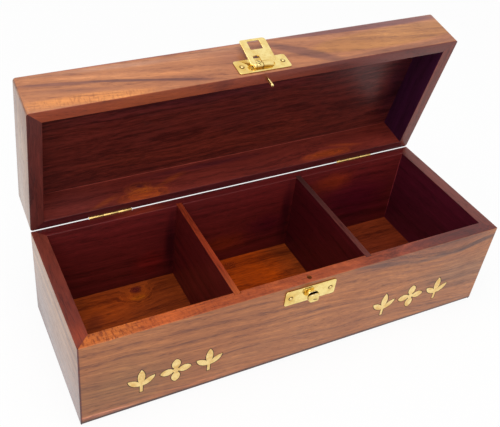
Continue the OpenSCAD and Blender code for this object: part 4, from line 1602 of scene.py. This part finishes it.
@dataclass
class Hinges:
    """Two surface hinges on the back, with their pins and screws."""

    centres: tuple[float, float] = (-97.1, 101.9)
    length: float = 30.5
    leaf: float = 11.0
    thick: float = 0.7
    corner: float = 1.2
    edge: float = 0.12
    pin_radius: float = 0.45
    pin_past: float = 0.8
    roll_radius: float = 0.95
    scoop_play: float = 0.2
    scoop_past: float = 1.2
    gap: float = 0.25
    screw_x: float = 9.0
    screw_up: float = 5.975
    screw_head: float = 1.9
    screw_radius: float = 1.0
    screw_length: float = 5.5
    screw_turn: float = 35.0
    screw_step: float = 50.0
    slot: tuple[float, float] = (0.56, 0.45)

    def build(self) -> None:
        """Makes and dresses both hinges."""
        brass = BrassFinish("Hinge brass", (0.78, 0.55, 0.2), (0.5, 0.3, 0.09),
                            rough=0.24).build()
        screw_brass = BrassFinish("Screw brass", (0.74, 0.56, 0.26), (0.4, 0.26, 0.1),
                                  rough=0.28).build()
        height = BOX.hinge_axis.z
        base_leaf, lid_leaf = self._leaf(False), self._leaf(True)
        screw, pin = self._screw(), self._pin()
        base_screws, lid_screws = [], []
        down = Matrix.Rotation(math.pi, 4, "Z")
        for side, x in zip(("left", "right"), self.centres):
            below = BOX.on_back(x, height) @ down
            above = BOX.opening @ BOX.on_back(x, height)
            for leaf, move, body, part in ((base_leaf, below, Body.BASE, "base"),
                                           (lid_leaf, above, Body.LID, "lid")):
                made = Bench.copy(leaf, f"{side}_{part}_hinge_leaf", move)
                hand_over(made, body, brass, f"{side}_hinge_{part}_leaf")
            made = Bench.copy(pin, f"{side}_hinge_wire", below)
            hand_over(made, Body.BASE, screw_brass, f"{side}_hinge_pin")
            for way in (-1, 1):
                spot = Matrix.Translation((way * self.screw_x, self.screw_up, self.thick))
                turn = Matrix.Rotation(math.radians(
                    self.screw_turn + self.screw_step * way + x), 4, "Z")
                base_screws.append(Bench.copy(screw, "screw_copy", below @ spot @ turn))
                lid_screws.append(Bench.copy(screw, "screw_copy", above @ spot @ turn))
        for name, screws, body, node in (
                ("slotted_base_screws", base_screws, Body.BASE, "base_hinge_screws"),
                ("slotted_lid_screws", lid_screws, Body.LID, "lid_hinge_screws")):
            hand_over(Bench.join(name, screws), body, screw_brass, node)
        Bench.discard(base_leaf, lid_leaf, screw, pin)

    def _leaf(self, middle: bool) -> Piece:
        """Makes a leaf that stands up from the pin, flat on the wood.

        Args:
            middle: whether it has the middle knuckle or the two outer ones.

        Returns:
            The leaf.
        """
        half, knuckle = self.length / 2, (self.length - 2 * self.gap) / 3
        leaf = Bench.block("leaf", (-half, 0, 0), (half, self.leaf, self.thick))
        Bench.round_edges(leaf, self.corner, 5,
                          lambda a, b: upright(a, b) and min(a.y, b.y) > self.leaf - 0.1)
        ends = knuckle / 2 + (0.0 if middle else self.gap)
        spans = [(-ends, ends)] if middle else [(-half, -ends), (ends, half)]
        waste = [(-half - 1, -ends), (ends, half + 1)] if middle else [(-ends, ends)]
        rolls = [Bench.rod("roll", ((low + high) / 2, 0, BOX.axis_out), self.roll_radius,
                           high - low, Axis.X, ROUND_SIDES) for low, high in spans]
        for low, high in waste:
            Bench.combine(leaf, Bench.block("waste", (low, -1, -1),
                                            (high, self.roll_radius + self.gap, 3)))
        for roll in rolls:
            Bench.combine(leaf, roll, "UNION")
        Bench.bore(leaf, (0, 0, BOX.axis_out), self.pin_radius + BORE_PLAY, 2 * self.length)
        for way in (-1, 1):
            sink = Bench.rod(
                "sink", (way * self.screw_x, self.screw_up, self.thick / 2 + BORE_PLAY),
                self.screw_radius + BORE_PLAY, self.thick + 2 * BORE_PLAY,
                tip=self.screw_head + 2 * BORE_PLAY, sides=ROUND_SIDES)
            Bench.combine(leaf, sink)
        Bench.soften(leaf, self.edge, 2)
        return Bench.smooth(leaf)

    def _screw(self) -> Piece:
        """Makes a countersunk screw with a slotted head, flush at the origin."""
        head = Bench.rod("screw", (0, 0, -self.thick / 2), self.screw_radius, self.thick,
                         tip=self.screw_head, sides=ROUND_SIDES)
        Bench.combine(head, Bench.rod("shank", (0, 0, -self.screw_length / 2 - 0.2),
                                      self.screw_radius - 0.02, self.screw_length - 0.4,
                                      sides=WIRE_SIDES), "UNION")
        wide, deep = self.slot
        Bench.combine(head, Bench.block("slot", (-3, -wide / 2, -deep), (3, wide / 2, 1)))
        Bench.soften(head, 0.06, 2)
        return Bench.smooth(head)

    def _pin(self) -> Piece:
        """Makes the hinge wire with rounded ends."""
        pin = Bench.rod("pin", (0, 0, BOX.axis_out), self.pin_radius,
                        self.length + self.pin_past, Axis.X, WIRE_SIDES)
        Bench.soften(pin, 0.25, 3)
        return Bench.smooth(pin)


@dataclass
class AlignmentPin:
    """Round-nosed split pin that drops into the base's rim as the lid shuts."""

    x: float = 0.8
    inset: float = 4.0
    radius: float = 1.1
    proud: float = 8.5
    root: float = 6.0
    split: float = 0.55
    split_turn: float = -133.0

    def build(self) -> None:
        """Makes and dresses the pin."""
        low, high, y = BOX.lid_z - self.proud, BOX.lid_z + self.root, self.inset - BOX.depth / 2
        pin = Bench.rod("round_nosed_pin", (self.x, y, (low + high) / 2), self.radius,
                        high - low, sides=ROUND_SIDES)
        Bench.round_edges(pin, self.radius - 0.05, 8, lambda a, b: max(a.z, b.z) < low + NEAR)
        split = Bench.block("split", (0.15, -self.split / 2, low + 1.3),
                            (2, self.split / 2, high + 1))
        cut = Matrix.Rotation(math.radians(self.split_turn), 4, "Z")
        Bench.combine(pin, Bench.mount(split, Matrix.Translation((self.x, y, 0)) @ cut))
        Bench.smooth(pin, 40)
        Bench.mount(pin, BOX.opening)
        inside = cut @ Vector((0.5, 0, 0)) + Vector((self.x, y, 0))
        # Painted shade inside the pin's split.
        dark = Patch((inside.x, inside.y, BOX.lid_z - 2), (0.62, 0.62, 12), (0.1, 0.06, 0.03),
                     core=0.6, ragged=0.0)
        hand_over(pin, Body.LID,
                  BrassFinish("Pin brass", (0.85, 0.64, 0.28), rough=0.14, in_lid=True,
                              tarnish_and_shade=(dark,)).build(), "alignment_pin")


# ---------------------------------------------------------------- studio


@dataclass
class Studio:
    """Pale floor, soft light and camera."""

    lens: float = 53.03
    shift: tuple[float, float] = (0.12, -0.067)
    place: tuple[float, float, float] = (-220.1, -316.1, 398.2)
    turn: tuple[float, float, float] = (52.647, -3.35, -23.662)
    ambient: float = 0.55
    seen_floor: float = 0.9
    floor_side: float = 8000.0
    floor_tone: Colour = (0.9, 0.9, 0.9)
    aim: tuple[float, float, float] = (0.0, 0.0, 60.0)
    lamps: tuple[tuple[str, tuple[float, float, float], float, float], ...] = (
        ("Overhead softbox", (-350.0, -250.0, 1500.0), 1400.0, 15.0),
        ("Front softbox", (-300.0, -1700.0, 700.0), 1200.0, 6.5))

    def build(self) -> None:
        """Sets up the floor, world, lamps and camera."""
        self._floor()
        self._world()
        for name, place, side, power in self.lamps:
            self._lamp(name, Vector(place), side, power)
        self._camera()
        bpy.context.scene.view_settings.view_transform = "Standard"

    def _camera(self) -> None:
        """Adds the camera."""
        data = bpy.data.cameras.new("Camera")
        data.sensor_width = 36.0
        data.lens = self.lens
        data.shift_x, data.shift_y = self.shift
        data.clip_start = 0.01
        camera = bpy.data.objects.new("Camera", data)
        camera.location = Vector(self.place) * MM
        camera.rotation_euler = Euler([math.radians(turn) for turn in self.turn])
        bpy.context.scene.collection.objects.link(camera)
        bpy.context.scene.camera = camera

    def _floor(self) -> None:
        """Adds the floor: white where it is seen, plain where it lights the box."""
        Bench.take()
        bpy.ops.mesh.primitive_plane_add(size=self.floor_side * MM)
        floor = bpy.context.object
        floor.name = "floor"
        material, g = new_material("Pale floor")
        plain = g.node("ShaderNodeBsdfDiffuse")
        g.feed(plain.inputs["Color"], self.floor_tone)
        glow = g.node("ShaderNodeEmission")
        share = g.math("MULTIPLY", self._seen(g), self.seen_floor)
        mixed = g.node("ShaderNodeMixShader")
        g.feed(mixed.inputs[0], share)
        g.tree.links.new(plain.outputs[0], mixed.inputs[1])
        g.tree.links.new(glow.outputs[0], mixed.inputs[2])
        g.tree.links.new(mixed.outputs[0],
                         g.node("ShaderNodeOutputMaterial").inputs["Surface"])
        dress(floor, material)

    @staticmethod
    def _seen(g: Graph) -> Socket:
        """Is 1 for the camera and for mirror-like rays."""
        path = g.node("ShaderNodeLightPath").outputs
        return g.math("MAXIMUM", path["Is Camera Ray"],
                      g.math("MAXIMUM", path["Is Glossy Ray"], path["Is Transmission Ray"]))

    def _world(self) -> None:
        """Lights the box evenly from a white room that is seen as white."""
        world = bpy.data.worlds.new("White room")
        bpy.context.scene.world = world
        world.use_nodes = True
        g = Graph(world.node_tree)
        light = g.node("ShaderNodeBackground")
        g.feed(light.inputs["Strength"],
               g.math("MULTIPLY_ADD", self._seen(g), 1.0 - self.ambient, self.ambient))
        light.inputs["Color"].default_value = (1, 1, 1, 1)
        g.tree.links.new(light.outputs[0], g.node("ShaderNodeOutputWorld").inputs["Surface"])

    def _lamp(self, name: str, place: Vector, side: float, power: float) -> None:
        """Adds a square soft lamp that points at the box.

        Args:
            name: the lamp's name.
            place: where it stands, in millimetres.
            side: its side, in millimetres.
            power: its power in watts.
        """
        data = bpy.data.lights.new(name, "AREA")
        data.size = side * MM
        data.energy = power
        lamp = bpy.data.objects.new(name, data)
        lamp.location = place * MM
        lamp.rotation_euler = (Vector(self.aim) - place).to_track_quat("-Z", "Y").to_euler()
        bpy.context.scene.collection.objects.link(lamp)


def main() -> None:
    """Builds the box in order and logs each part as it is finished."""
    logging.basicConfig(level=logging.INFO, format="%(name)s: %(message)s")
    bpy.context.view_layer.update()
    for part in (Case(), Inlay(), Latch(), Hinges(), AlignmentPin(), Studio()):
        part.build()
        LOG.info("finished %s", type(part).__name__)


if __name__ == "__main__":
    main()
